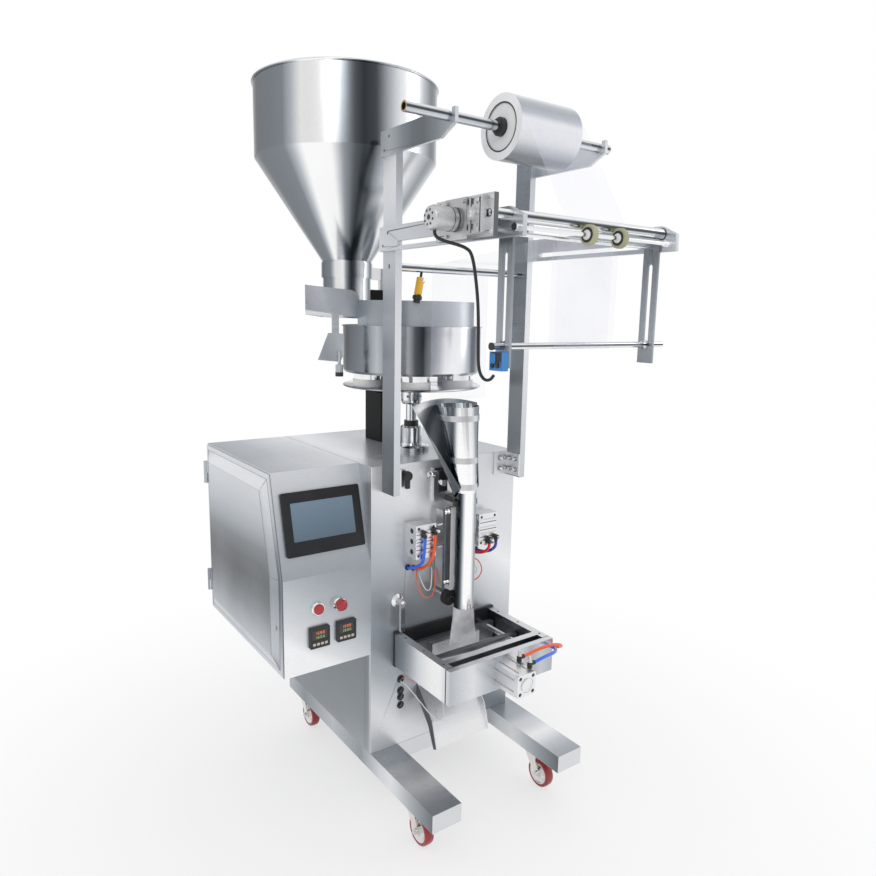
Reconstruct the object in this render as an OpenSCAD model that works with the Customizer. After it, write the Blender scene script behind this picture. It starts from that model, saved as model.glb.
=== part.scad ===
// Measuring cup packaging machine: a granule filler that doses with a
// turntable of measuring cups, forms film round a tube and seals the bags.
// Millimetres, +Z up, floor at Z 0, operator side towards -Y.
// Inside the modules X 0 is the cabinet's left face and Y 0 its front face.

/* [Cabinet] */
// Width of the main cabinet
cab_w = 443; // [420:1:480]
// Depth of the main cabinet
cab_d = 495; // [460:1:560]
// Height of the main cabinet above the foot tubes
cab_h = 735; // [710:1:780]
// Thickness of the cabinet's sheet
sheet_t = 3; // [2:0.5:4]
// Thickness of the front mounting plate
front_t = 10; // [8:1:14]
// Width of the return lips round the openings
lip_w = 25; // [18:1:35]
// Gap round the doors
door_gap = 0.3; // [0.2:0.1:1]
// Thickness of the doors
door_t = 3; // [2:0.5:4]
// Radius of the hinge knuckles
knuckle_r = 6; // [5:0.5:8]
// Radius of the hinge pins
hinge_pin_r = 3; // [2:0.5:4]

/* [Control box] */
// Width of the control box
box_w = 224; // [215:1:260]
// Height of its bottom above the floor
box_z = 418; // [380:1:440]
// Height at which the sloping panel starts
slope_z = 650; // [630:1:670]
// How far the sloping panel leans back
slope_back = 60; // [45:1:75]
// Width of the bevelled border of the side door
bevel_w = 46; // [35:1:55]
// How far the side door's middle stands out
bevel_h = 10; // [5:1:16]
// Width of the touch screen's bezel
screen_w = 197; // [180:1:205]
// Height of the touch screen's bezel
screen_h = 145; // [130:1:155]
// Thickness of the touch screen's bezel
screen_t = 7; // [5:1:12]
// Side of the square temperature controllers
ctrl_s = 50; // [46:1:54]
// Outer radius of the push buttons' rings
ring_r = 16.5; // [14:0.5:18]
// Radius of the push buttons' caps
cap_r = 12.4; // [10:0.2:13]
// Travel of the push buttons
button_travel = 4; // [2:0.5:5]

/* [Feet and casters] */
// Width of a foot tube
rail_w = 80; // [60:1:90]
// Height of a foot tube
rail_h = 45; // [40:1:60]
// Wall of the tubes
tube_t = 3; // [2:0.5:4]
// How far the feet reach in front of the cabinet
rail_front = 272; // [230:1:300]
// How far the right foot stands out past the cabinet
rail_out = 22; // [0:1:40]
// Overall height of a caster
caster_h = 105; // [102:1:115]
// Radius of a caster's wheel
wheel_r = 37.5; // [34:0.5:39]
// Width of a caster's tyre
tyre_w = 24; // [20:1:28]
// Trail of a caster's wheel behind its swivel
trail = 28; // [22:1:32]
// Distance of the front swivels from the ends of the feet
caster_in = 128; // [80:1:140]

/* [Masts and reel] */
// Width of a mast
mast_w = 17; // [14:1:28]
// Depth of a mast
mast_d = 52; // [42:1:58]
// Distance of the masts' outer faces from the cabinet's sides
mast_in = 29.5; // [15:0.5:35]
// Difference on the right side
mast_skew = 19.5; // [0:0.5:24]
// How far the masts' lower ends lie below the cabinet's top
mast_drop = 63; // [45:1:85]
// Height of the masts' upper ends above the cabinet
mast_lift = 742; // [715:1:795]
// Thickness of the reel arms
arm_t = 8; // [5:0.5:10]
// Height of the reel arms and roller arms
arm_h = 52; // [46:1:60]
// Radius of the reel shaft
reel_r = 10; // [8:0.5:12]
// Distance of the reel shaft in front of the cabinet
reel_y = 252; // [230:1:270]
// Radius of the film roll
roll_r = 63.5; // [55:0.5:72]
// Width of the film
film_w = 166; // [140:1:190]

/* [Rollers] */
// Height of the roller arms' lower edges above the cabinet
low_arm_lift = 489; // [475:1:505]
// Thickness of the roller arms
low_arm_t = 10; // [8:0.5:12]
// Reach of the roller arms in front of the cabinet
low_arm_y = 475; // [460:1:490]
// Radius of the drive roller
drive_r = 10.8; // [9:0.2:12]
// Radius of the rubber collars
collar_r = 19; // [17:0.5:20]
// Radius of the dancer rod
dancer_r = 6; // [5:0.5:7]
// Travel of the dancer rod in its slots
dancer_travel = 160; // [100:5:165]
// Length of the hanging slotted bars
hang_h = 246; // [230:1:260]
// Width of the hanging bars
hang_w = 38; // [30:1:44]
// Radius of the guide bar between the masts
guide_r = 9; // [7:0.5:11]

/* [Hopper] */
// Outer radius of the hopper
hop_r = 225; // [200:1:240]
// Height of the hopper's cylinder
hop_h = 175; // [140:1:220]
// Height of the cone
cone_h = 241; // [200:1:280]
// Height of the neck's top above the cabinet
neck_lift = 483; // [465:1:495]
// Outer radius of the neck
neck_r = 63; // [62:1:66]
// Outer radius of the outlet tube
outlet_r = 61; // [50:1:61]
// Wall of the hopper
hop_t = 3; // [2:0.5:4]

/* [Measuring pan] */
// Outer radius of the pan
pan_r = 180; // [165:1:184]
// Height of the pan's wall
pan_h = 118; // [90:1:130]
// Height of the pan's floor above the cabinet
pan_lift = 207; // [195:1:215]
// Radius of the circle on which the cups sit
cup_pcd_r = 130; // [120:1:132]
// Number of measuring cups
cups = 6; // [4:1:8]
// Inner radius of a measuring cup
cup_r = 34; // [16:1:35]
// Radius of the drive shaft
shaft_r = 14; // [12:0.5:16]
// Height of the guard sheet above the pan
fence_h = 60; // [40:1:70]

/* [Forming tube] */
// Outer radius of the forming tube
form_r = 25; // [20:0.5:28]
// Distance of the forming tube in front of the cabinet
form_y = 78; // [74:1:84]
// How far the forming tube's lower end lies below the cabinet's top
form_drop = 365; // [345:1:375]
// How far the funnel's foot lies below the cabinet's top
funnel_drop = 70; // [55:1:85]
// Height of the funnel's rim above the cabinet
funnel_lift = 137; // [115:1:145]
// Radius of the funnel's rim
funnel_r = 52; // [46:1:54]
// How far the funnel's mouth leans towards the pan
funnel_lean = 42; // [30:1:44]
// Half width of the forming collar
wing_w = 100; // [85:1:104]

/* [Sealers] */
// Height of the vertical seal bars
bar_h = 214; // [180:1:230]
// Opening of each vertical seal bar
bar_open = 12; // [4:0.5:14]
// Radius of the pull wheels
pull_r = 20.5; // [18:0.5:22]
// Width of the jaw box
jaw_w = 315; // [300:1:330]
// Depth of the jaw box
jaw_d = 238; // [230:1:260]
// How far the jaw box's lower edge lies below the cabinet's top
jaw_drop = 512; // [505:1:525]
// Height of the jaw box
jaw_h = 84; // [80:1:95]
// Thickness of the jaw box's side plates
side_t = 20; // [16:1:24]
// Travel of each jaw
jaw_travel = 24; // [15:1:24]
// Radius of the jaws' guide rods
rod_r = 7; // [6:0.5:8]
// Side of the jaw cylinder's square barrel
barrel_s = 54; // [48:1:60]
// Length of the jaw cylinder's barrel
barrel_l = 80; // [70:1:95]

/* [Hidden] */
$fn = 48;

// Radial clearance of a shaft in its bore
run_c = 0.05;
// Clearance between solids that must not touch
air = 0.3;

cab_z = caster_h + rail_h;
cab_top = cab_z + cab_h;
mast_z = cab_top - mast_drop;
mast_top = cab_top + mast_lift;
low_arm_z = cab_top + low_arm_lift;
neck_z = cab_top + neck_lift;
hop_seam = neck_z + cone_h;
hop_top = hop_seam + hop_h;
form_low = cab_top - form_drop;
funnel_low = cab_top - funnel_drop;
funnel_top = cab_top + funnel_lift;
jaw_z = cab_top - jaw_drop;
// How far the top has moved from where the cords' routes were laid
rise = cab_top - 885;
mid_x = cab_w / 2 + 0.5;
rail_rx = cab_w + rail_out - rail_w;
mast_lx = mast_in;
mast_rx = cab_w - mast_in - mast_w + mast_skew;
arm_z = mast_top - arm_h;
reel_z = mast_top - 17;
neck_of_reel = reel_r - 1;
gear_x = -16;
drive_y = low_arm_y - 35;
drive_z = low_arm_z + 36;
nip = (drive_r + collar_r + 0.6) * sin(45);
pinch_y = drive_y + nip;
pinch_z = drive_z - nip;
tie_y = drive_y - 20;
tie_z = low_arm_z + 9;
tie_r = 4;
hang_top = tie_z + 8;
hang_t = 6;
hang_z = hang_top - hang_h;
dancer_z = hang_z + 39;
guide_z = low_arm_z - 32;
guide_y = mast_d / 2;
in_l = mast_lx;
in_r = mast_rx + mast_w;
pan_x = 207;
pan_y = 148;
pan_z = cab_top + pan_lift;
disc_z = pan_z - 37;
hop_x = 77;
hop_y = 260;
col_x = 190;
col_y = 334;
col_w = 60;
col_d = 28;
jaw_l = mid_x - jaw_w / 2;
jaw_r = mid_x + jaw_w / 2;
jaw_top = jaw_z + jaw_h;
rod_l = jaw_l + side_t + 26;
rod_rr = jaw_r - side_t - 26;
rod_z = jaw_z + 52;
jaw_face = jaw_travel + 1.2;
piston_z = jaw_z + 43;
swing_fy = caster_in - rail_front;
swing_ry = cab_d - 38;

// Overall extents, which set the origin at the middle of the footprint
ext_l = -box_w - door_gap - door_t - bevel_h;
ext_r = mast_rx + mast_w + 47;
ext_f = -pinch_y - collar_r;
ext_b = cab_d + 2 * knuckle_r;
ox = -(ext_l + ext_r) / 2;
oy = -(ext_f + ext_b) / 2;

// Routes of the hoses, wires and the cable, in millimetres
hose_lb = [[118, -54, 707.7], [118, -55, 700], [117, -55, 684],
    [116, -54, 668], [115, -53, 654], [113, -46, 641], [110, -34, 632],
    [107, -20, 625], [104, -9, 621], [104, -0.4, 621]];
hose_lo = [[148, -54, 711.7], [148, -55, 704], [147, -55, 688],
    [145, -54, 670], [142, -53, 654], [137, -47, 639], [131, -35, 627],
    [125, -20, 619], [121, -9, 616], [121, -0.4, 616]];
hose_rb = [[341, -54, 662.7], [341, -55, 657], [338, -54, 647],
    [331, -47, 638], [324, -34, 632], [319, -18, 630], [318, -8, 630],
    [318, -0.4, 630]];
hose_rr = [[319, -54, 659.7], [319, -55, 654], [316, -53, 645],
    [310, -46, 637], [302, -34, 633], [294, -20, 632], [290, -9, 632],
    [290, -0.4, 632]];
hose_fo = [[262.3, -262, 452], [276, -262, 453], [300, -262, 456],
    [328, -262, 457], [356, -262, 455], [378, -261, 449],
    [391, -256, 441], [397, -247, 434], [397, -237, 429],
    [391, -229, 426], [380, -227, 426]];
hose_fb = [[262.3, -298, 452], [278, -298, 454], [300, -297, 456],
    [325, -292, 454], [346, -281, 449], [360, -268, 444],
    [368, -254, 441], [368, -238.4, 440]];
wire_l1 = [[128, -0.5, 612], [128, -4, 611.6], [124, -12, 594], [124, -22, 570],
    [134, -28, 548], [148, -30, 542], [160, -30, 548], [169, -26, 566],
    [174, -18, 588], [175, -12, 608]];
wire_l2 = [[136, -0.5, 604], [136, -4, 603.6], [135, -12, 590], [138, -20, 574],
    [144, -24, 562], [152, -25, 558], [160, -22, 564], [166, -16, 580],
    [170, -11, 598], [172, -6, 610]];
wire_r1 = [[280, -0.5, 632], [280, -4, 631.6], [298, -12, 616], [314, -21, 602],
    [320, -26, 580], [310, -26, 562], [294, -22, 554], [280, -16, 556],
    [272, -8, 566]];
wire_r2 = [[284, -0.5, 622], [284, -4, 621.6], [294, -10, 606], [304, -16, 594],
    [309, -19, 580], [302, -19, 570], [290, -16, 564], [281, -10, 568],
    [276, -4, 576]];
wire_j1 = [[86, 1, 322.4], [86, -3, 322.2], [92, -14, 318], [104, -28, 300],
    [118, -44, 276], [134, -58, 250], [150, -68, 230], [162, -70, 224],
    [172, -68, 232], [178, -60, 258], [180, -50, 292], [181, -40, 330],
    [181, -36, 368]];
wire_j2 = [[92.6, 1, 329], [92.8, -3, 329], [102, -14, 327], [112, -20, 322],
    [122, -23, 316], [130, -26, 320], [134, -27, 336], [135, -27, 368]];
cable_m = [[-88, -368, 1381.2], [-88, -369, 1376], [-84, -371, 1370],
    [-72, -375, 1365], [-58, -378, 1362], [-44, -381, 1359],
    [-30, -382, 1355], [-20, -383, 1348], [-14, -385, 1330],
    [-10, -388, 1300], [-6, -390, 1262], [-4, -391, 1220],
    [-3, -391, 1180], [-2, -392, 1150], [2, -394, 1132],
    [10, -398, 1122], [18, -403, 1123], [22, -408, 1131]];

function unit(v) = v / norm(v);
function lift(p) = [for (q = p) q + [0, 0, rise]];
function slope_len() = norm([slope_back, cab_top - slope_z]);
function slope_a() = atan2(cab_top - slope_z, slope_back);
function tan_at(p, i) = unit(p[min(i + 1, len(p) - 1)] - p[max(i - 1, 0)]);
function side_of(t) = unit(cross(t, abs(t[2]) > 0.9 ? [0, 1, 0] : [0, 0, 1]));

module here() translate([ox, oy, 0]) children();

module tube_path(p, r, n) {
    pts = [for (i = [0:len(p) - 1], k = [0:n - 1])
        let (t = tan_at(p, i), a = side_of(t), b = cross(t, a))
        p[i] + r * (cos(360 * k / n) * a + sin(360 * k / n) * b)];
    sides = [for (i = [0:len(p) - 2], k = [0:n - 1])
        [i * n + k, (i + 1) * n + k,
         (i + 1) * n + (k + 1) % n, i * n + (k + 1) % n]];
    low = [[for (k = [0:n - 1]) k]];
    high = [[for (k = [0:n - 1]) len(p) * n - 1 - k]];
    polyhedron(pts, concat(sides, low, high));
}

// Closed shell between rings of points: outside first, then inside
module ring_shell(outer, inner) {
    n = len(outer[0]);
    m = len(inner);
    rings = concat(outer, [for (i = [0:m - 1]) inner[m - 1 - i]]);
    q = len(rings);
    pts = [for (ring = rings) each ring];
    polyhedron(pts, [for (i = [0:q - 1], k = [0:n - 1])
        [i * n + k, ((i + 1) % q) * n + k,
         ((i + 1) % q) * n + (k + 1) % n, i * n + (k + 1) % n]]);
}

module rounded(w, h, r, t) {
    linear_extrude(t) union() {
        square([w - 2 * r, h], center = true);
        square([w, h - 2 * r], center = true);
        for (x = [-1, 1], y = [-1, 1])
            translate([x * (w / 2 - r), y * (h / 2 - r)]) circle(r);
    }
}

module slot_yz(y1, y2, z, w, x, t) {
    translate([x, 0, 0]) rotate([90, 0, 90]) linear_extrude(t) union() {
        translate([y1, z - w / 2]) square([y2 - y1, w]);
        translate([y1, z]) circle(w / 2);
        translate([y2, z]) circle(w / 2);
    }
}

module plate_yz(x, t, pts)
    translate([x, 0, 0]) rotate([90, 0, 90]) linear_extrude(t) polygon(pts);

module rod_x(x1, x2, y, z, r)
    translate([x1, y, z]) rotate([0, 90, 0]) cylinder(r = r, h = x2 - x1);

module rod_y(x, y1, y2, z, r)
    translate([x, y2, z]) rotate([90, 0, 0]) cylinder(r = r, h = y2 - y1);

module on_slope(x, s) {
    a = slope_a();
    translate([x, s * cos(a), slope_z + s * sin(a)])
        rotate([a, 0, 0]) children();
}

// Fixed half of a hinge with its pin; the moving half has the bore
module hinge_fixed(h) {
    cylinder(r = knuckle_r, h = h / 2 - 0.2);
    cylinder(r = hinge_pin_r, h = h);
}

module hinge_moving(h) {
    translate([0, 0, h / 2]) difference() {
        cylinder(r = knuckle_r, h = h / 2);
        translate([0, 0, -1])
            cylinder(r = hinge_pin_r + run_c, h = h / 2 + 2);
    }
}

module box_tube_y(x, y1, y2, z, w, h, t) {
    difference() {
        translate([x, y1, z]) cube([w, y2 - y1, h]);
        translate([x + t, y1 - 1, z + t])
            cube([w - 2 * t, y2 - y1 + 2, h - 2 * t]);
    }
}

module caster_mount(x, y) translate([x, y, 0]) {
    translate([-30, -30, caster_h - 3]) cube([60, 60, 4]);
    translate([0, 0, caster_h - 9]) cylinder(r = 21, h = 7);
    translate([0, 0, caster_h - 24]) cylinder(r = 6, h = 16);
    translate([0, 0, caster_h - 24]) cylinder(r = 9.5, h = 4);
}

module base_frame() color("silver") here() {
    for (x = [0, rail_rx]) {
        box_tube_y(x, -rail_front, cab_d, caster_h,
            rail_w, rail_h, tube_t);
        for (y = [-rail_front, cab_d - tube_t])
            translate([x, y, caster_h]) cube([rail_w, tube_t, rail_h]);
    }
    for (y = [0, cab_d - 50]) difference() {
        translate([rail_w - 1, y, caster_h])
            cube([rail_rx - rail_w + 2, 50, rail_h]);
        translate([rail_w - 2, y + tube_t, caster_h + tube_t])
            cube([rail_rx - rail_w + 4, 50 - 2 * tube_t, rail_h - 2 * tube_t]);
    }
    for (x = [rail_w / 2, rail_rx + rail_w / 2], y = [swing_fy, swing_ry])
        caster_mount(x, y);
}

module fork(x, y) translate([x, y, 0]) {
    top = caster_h - 9.5;
    difference() {
        translate([0, 0, top - 10]) cylinder(r = 20, h = 10);
        translate([0, 0, top - 12]) cylinder(r = 6 + run_c, h = 14);
        translate([0, 0, top - 12]) cylinder(r = 10, h = 2 + air);
    }
    for (s = [-1, 1]) difference() {
        union() {
            plate_yz(s * (tyre_w / 2 + 3.5) - 1.5, 3,
                [[-17, top - 3], [17, top - 3], [17, top - 12],
                 [-trail + 9, wheel_r - 4], [-trail, wheel_r - 11],
                 [-trail - 9, wheel_r - 4], [-19, top - 14]]);
            rod_x(s * (tyre_w / 2 + 3.5) - 1.5, s * (tyre_w / 2 + 3.5) + 1.5,
                -trail, wheel_r, 11);
        }
        rod_x(-tyre_w, tyre_w, -trail, wheel_r, 4);
    }
    rod_x(-tyre_w / 2 - 8, tyre_w / 2 + 8, -trail, wheel_r, 4);
    for (s = [-1, 1])
        rod_x(s * (tyre_w / 2 + 7) - 2, s * (tyre_w / 2 + 7) + 2,
            -trail, wheel_r, 7);
}

module wheel(x, y) translate([x, y - trail, wheel_r]) rotate([0, 90, 0]) {
    color("firebrick") rotate_extrude() polygon([
        [wheel_r - 9, -tyre_w / 2 + 1], [wheel_r - 4, -tyre_w / 2],
        [wheel_r - 1, -tyre_w / 2 + 4], [wheel_r, 0],
        [wheel_r - 1, tyre_w / 2 - 4], [wheel_r - 4, tyre_w / 2],
        [wheel_r - 9, tyre_w / 2 - 1]]);
    color("gainsboro") rotate_extrude() polygon([
        [4 + run_c, -tyre_w / 2 - 1.5], [12, -tyre_w / 2 - 1.5],
        [13, -tyre_w / 2 + 3], [wheel_r - 12, -tyre_w / 2 + 4],
        [wheel_r - 11, -tyre_w / 2 + 1], [wheel_r - 9, -tyre_w / 2 + 1],
        [wheel_r - 9, tyre_w / 2 - 1], [wheel_r - 11, tyre_w / 2 - 1],
        [wheel_r - 12, tyre_w / 2 - 4], [13, tyre_w / 2 - 3],
        [12, tyre_w / 2 + 1.5], [4 + run_c, tyre_w / 2 + 1.5]]);
}

module fork_fl() color("gainsboro") here() fork(rail_w / 2, swing_fy);
module fork_fr() color("gainsboro") here()
    fork(rail_rx + rail_w / 2, swing_fy);
module fork_rl() color("gainsboro") here() fork(rail_w / 2, swing_ry);
module fork_rr() color("gainsboro") here()
    fork(rail_rx + rail_w / 2, swing_ry);
module wheel_fl() here() wheel(rail_w / 2, swing_fy);
module wheel_fr() here() wheel(rail_rx + rail_w / 2, swing_fy);
module wheel_rl() here() wheel(rail_w / 2, swing_ry);
module wheel_rr() here() wheel(rail_rx + rail_w / 2, swing_ry);

// Height of a hinge and of the two hinges on a door
hinge_h = 60;
hinge_up = 90;

module cabinet_shell() color("silver") here() {
    difference() {
        translate([0, front_t, cab_z])
            cube([cab_w, cab_d - front_t, cab_h]);
        translate([sheet_t, front_t - 1, cab_z + sheet_t])
            cube([cab_w - 2 * sheet_t, cab_d - front_t - sheet_t + 1,
                cab_h - 2 * sheet_t]);
        translate([lip_w, cab_d - sheet_t - 1, cab_z + lip_w])
            cube([cab_w - 2 * lip_w, sheet_t + 2, cab_h - 2 * lip_w]);
        translate([rail_w, 50 + front_t, cab_z - 1])
            cube([rail_rx - rail_w, cab_d - 100 - front_t, sheet_t + 2]);
    }
    for (z = [cab_z + hinge_up, cab_top - hinge_up - hinge_h])
        translate([0, 0, z]) {
            translate([cab_w, cab_d - 30, 0])
                cube([sheet_t, 34, hinge_h / 2 - 0.2]);
            translate([cab_w + knuckle_r, cab_d + 5, 0])
                hinge_fixed(hinge_h);
        }
}

module front_plate() color("gainsboro") here() difference() {
    translate([0, 0, cab_z]) cube([cab_w, front_t, cab_h]);
    for (z = [628, 606, 588, 557])
        rod_y(87, -1, front_t + 1, cab_top - z, 7.5);
    for (p = [[104, -264], [121, -269]])
        rod_y(p[0], -1, front_t + 1, cab_top + p[1], 5);
}

module rear_door() color("silver") here() {
    y = cab_d + door_gap;
    difference() {
        translate([6, y, cab_z + 10])
            cube([cab_w - 12, door_t, cab_h - 20]);
        translate([36, y - 1, (cab_z + cab_top) / 2 - 12])
            cube([24, door_t + 2, 40]);
    }
    difference() {
        translate([33, y + door_t, (cab_z + cab_top) / 2 - 15])
            cube([30, 3, 46]);
        translate([37, y + door_t - 1, (cab_z + cab_top) / 2 - 11])
            cube([22, 5, 38]);
    }
    translate([35, y - 1, (cab_z + cab_top) / 2 - 13])
        cube([26, 2, 42]);
    for (z = [cab_z + hinge_up, cab_top - hinge_up - hinge_h])
        translate([0, 0, z]) difference() {
            union() {
                translate([cab_w + knuckle_r, cab_d + 5, 0])
                    hinge_moving(hinge_h);
                translate([cab_w - 36, y + door_t, hinge_h / 2])
                    cube([36 + knuckle_r, 3, hinge_h / 2]);
            }
            translate([cab_w + knuckle_r, cab_d + 5, 0])
                cylinder(r = hinge_pin_r + run_c, h = hinge_h + 1);
        }
}

module box_side(g) polygon([[g, box_z + g], [g, slope_z],
    [slope_back + g * 0.78, cab_top - g], [cab_d - g, cab_top - g],
    [cab_d - g, box_z + g]]);

module control_box() color("silver") here() {
    difference() {
        translate([-box_w, 0, 0]) rotate([90, 0, 90])
            linear_extrude(box_w) box_side(0);
        translate([sheet_t - box_w, 0, 0]) rotate([90, 0, 90])
            linear_extrude(box_w - 2 * sheet_t) box_side(sheet_t);
        translate([-box_w - 1, 0, 0]) rotate([90, 0, 90])
            linear_extrude(sheet_t + 2) box_side(lip_w);
    }
    translate([-18, lip_w * 2, box_z + lip_w])
        cube([2, cab_d - lip_w * 4, cab_top - box_z - lip_w * 3]);
    for (y = [lip_w * 3, cab_d - lip_w * 3], z = [box_z + 60, cab_top - 90])
        rod_x(-16, -sheet_t, y, z, 5);
    for (z = [box_z + 50, cab_top - 50 - hinge_h]) translate([0, 0, z]) {
        translate([-box_w - 4, cab_d - 1, 0])
            cube([34, 4, hinge_h / 2 - 0.2]);
        translate([-box_w - 5, cab_d + knuckle_r, 0]) hinge_fixed(hinge_h);
    }
}

module side_door() color("silver") here() {
    x = -box_w - door_gap;
    difference() {
        translate([x - door_t, 0, 0]) rotate([90, 0, 90])
            linear_extrude(door_t) box_side(4);
        rod_x(x - 10, x + 10, lip_w + 6, (box_z + slope_z) / 2, 8);
    }
    rod_x(x - door_t - 4, x - 0.1, lip_w + 6, (box_z + slope_z) / 2, 8);
    hull() {
        translate([x - door_t - 0.1, 0, 0]) rotate([90, 0, 90])
            linear_extrude(0.1) box_side(16);
        translate([x - door_t - bevel_h, 0, 0]) rotate([90, 0, 90])
            linear_extrude(0.5) box_side(bevel_w);
    }
    for (z = [box_z + 50, cab_top - 50 - hinge_h]) translate([0, 0, z])
        difference() {
            union() {
                translate([-box_w - 5, cab_d + knuckle_r, 0])
                    hinge_moving(hinge_h);
                translate([x - door_t - 3, cab_d - 14, hinge_h / 2])
                    cube([3, 14 + knuckle_r, hinge_h / 2]);
            }
            translate([-box_w - 5, cab_d + knuckle_r, 0])
                cylinder(r = hinge_pin_r + run_c, h = hinge_h + 1);
        }
}

module touch_screen() here() {
    on_slope(-box_w / 2 + 1.5, slope_len() / 2) {
        color("#30343a") difference() {
            rounded(screen_w, screen_h, 5, screen_t);
            translate([0, 4, screen_t - 2])
                rounded(screen_w - 40, screen_h - 57, 2, 3);
        }
        color("#6f88a0") translate([0, 4, screen_t - 2])
            rounded(screen_w - 40.4, screen_h - 57.4, 2, 1);
    }
}

module controllers() here() for (x = [-139, -70])
    translate([x, 0, 502]) rotate([90, 0, 0]) {
        color("#202226") difference() {
            rounded(ctrl_s, ctrl_s, 3, 9);
            translate([0, 6, 7]) rounded(ctrl_s - 10, 24, 1, 3);
        }
        color("#381410") translate([0, 6, 7])
            rounded(ctrl_s - 10.4, 23.6, 1, 1);
        color("#c8c0a8") for (k = [-1.5:1:1.5])
            translate([k * 10, -ctrl_s / 2 + 10, 9]) rounded(7, 6, 1, 1);
    }

button_z = 570;
start_x = -141;
stop_x = -86;

module button_rings() color("silver") here() for (x = [start_x, stop_x])
    translate([x, 0, button_z]) rotate([90, 0, 0]) rotate_extrude()
        polygon([[cap_r + 0.3, 0], [ring_r, 0], [ring_r, 5],
            [ring_r - 2, 8], [cap_r + 0.3, 8]]);

module start_button() color("crimson") here()
    translate([start_x, -button_travel - air, button_z])
        rotate([90, 0, 0]) rotate_extrude() polygon([[0, 0], [cap_r, 0],
            [cap_r, 6], [cap_r - 1, 7.5], [cap_r - 3, 8.4], [0, 8.8]]);

module stop_button() color("firebrick") here()
    translate([stop_x, -button_travel - air, button_z])
        rotate([90, 0, 0]) rotate_extrude() polygon([[0, 0], [cap_r, 0],
            [cap_r, 8], [cap_r + 1, 8.5], [cap_r + 1.6, 12],
            [cap_r, 15], [cap_r - 4, 17.5], [0, 18.4]]);

// L shaped clamps hold the masts to the front plate
module masts() color("silver") here() {
    for (x = [mast_lx, mast_rx]) {
        difference() {
            translate([x, -mast_d, mast_z])
                cube([mast_w, mast_d, mast_top - mast_z]);
            translate([x + 2, 2 - mast_d, mast_z + 3])
                cube([mast_w - 4, mast_d - 4, mast_top - mast_z - 2]);
            rod_x(x - 1, x + mast_w + 1, -guide_y, guide_z, 5);
        }
        translate([x + 2, 2 - mast_d, mast_top - 6])
            cube([mast_w - 4, mast_d - 4, 6]);
    }
    for (s = [0, 1]) translate([s == 0 ? mast_lx + mast_w : mast_rx, 0,
        mast_z + 4]) mirror([s, 0, 0]) {
        translate([0, -4, 0]) cube([46, 4, 58]);
        translate([0, -mast_d, 0]) cube([4, mast_d - 3, 58]);
        for (z = [15, 43]) {
            rod_y(26, -7, -4, z, 5);
            for (y = [-17, -37]) rod_x(4, 7, y, z, 4.5);
        }
    }
}

module reel_arms() color("silver") here()
    for (x = [in_l - arm_t, in_r]) difference() {
        plate_yz(x, arm_t, [[0, arm_z], [0, mast_top],
            [-reel_y + 40, mast_top], [-reel_y + 28, mast_top - 3],
            [-reel_y - 20, mast_top - 3], [-reel_y - 20, arm_z + 22],
            [-reel_y + 28, arm_z]]);
        rod_x(x - 1, x + arm_t + 1, -reel_y, reel_z, neck_of_reel + run_c);
        translate([x - 1, -reel_y - neck_of_reel - run_c, reel_z])
            cube([arm_t + 2, 2 * (neck_of_reel + run_c), 40]);
        for (p = [[-14, 12], [-34, 38]])
            rod_x(x - 1, x + arm_t + 1, p[0], arm_z + p[1], 3);
    }

shaft_x1 = -80;
shaft_x2 = in_r + 30;
roll_x = 150;

// Shaft with turned necks that keep it between the forks of the arms
module reel_shaft() color("gainsboro") here() difference() {
    union() {
        rod_x(shaft_x1, in_l - arm_t - air, -reel_y, reel_z, reel_r);
        rod_x(in_l + air, in_r - air, -reel_y, reel_z, reel_r);
        rod_x(in_r + arm_t + air, shaft_x2, -reel_y, reel_z, reel_r);
        rod_x(shaft_x1 + 50, shaft_x2 - 5, -reel_y, reel_z, neck_of_reel);
    }
    rod_x(shaft_x1 - 1, shaft_x1 + 40, -reel_y, reel_z, reel_r - 3);
    rod_x(shaft_x2 - 15, shaft_x2 + 1, -reel_y, reel_z, reel_r - 3);
}

module film_roll() here() translate([roll_x, -reel_y, reel_z])
    rotate([0, 90, 0]) {
        color("whitesmoke") difference() {
            cylinder(r = roll_r, h = film_w);
            translate([0, 0, -1]) cylinder(r = 46, h = film_w + 2);
        }
        color("white") for (z = [2, film_w - 14]) translate([0, 0, z])
            difference() {
                cylinder(r = 46, h = 12);
                translate([0, 0, -1]) cylinder(r = reel_r, h = 14);
            }
        color("#202020") for (s = [0, 1])
            translate([0, 0, s == 0 ? -12 : film_w - 2]) rotate_extrude()
                polygon(s == 0 ? [[reel_r, 0], [14, 0], [14, 4], [18, 6],
                    [18, 14], [reel_r, 14]] : [[reel_r, 0], [18, 0],
                    [18, 8], [14, 10], [14, 14], [reel_r, 14]]);
    }

module roller_arms() color("silver") here() {
    for (x = [in_l - low_arm_t, in_r]) difference() {
        plate_yz(x, low_arm_t, [[0, low_arm_z], [0, low_arm_z + arm_h],
            [-low_arm_y + 37, low_arm_z + arm_h],
            [-low_arm_y, low_arm_z + 34], [-low_arm_y, low_arm_z]]);
        slot_yz(-low_arm_y + 95, -79, low_arm_z + 14, 10, x - 1,
            low_arm_t + 2);
        rod_x(x - 1, x + low_arm_t + 1, -drive_y, drive_z, 6 + run_c);
        rod_x(x - 1, x + low_arm_t + 1, -pinch_y, pinch_z, 4 + run_c);
        for (p = [[-14, 12], [-34, 38]])
            rod_x(x - 1, x + low_arm_t + 1, p[0], low_arm_z + p[1], 3);
    }
    rod_x(in_l, in_r, -tie_y, tie_z, tie_r);
    color("#202020") difference() {
        rod_x(in_r - 2, in_r, -drive_y, drive_z, drive_r + 1);
        rod_x(in_r - 3, in_r + 1, -drive_y, drive_z, 6 + run_c);
    }
}

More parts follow.
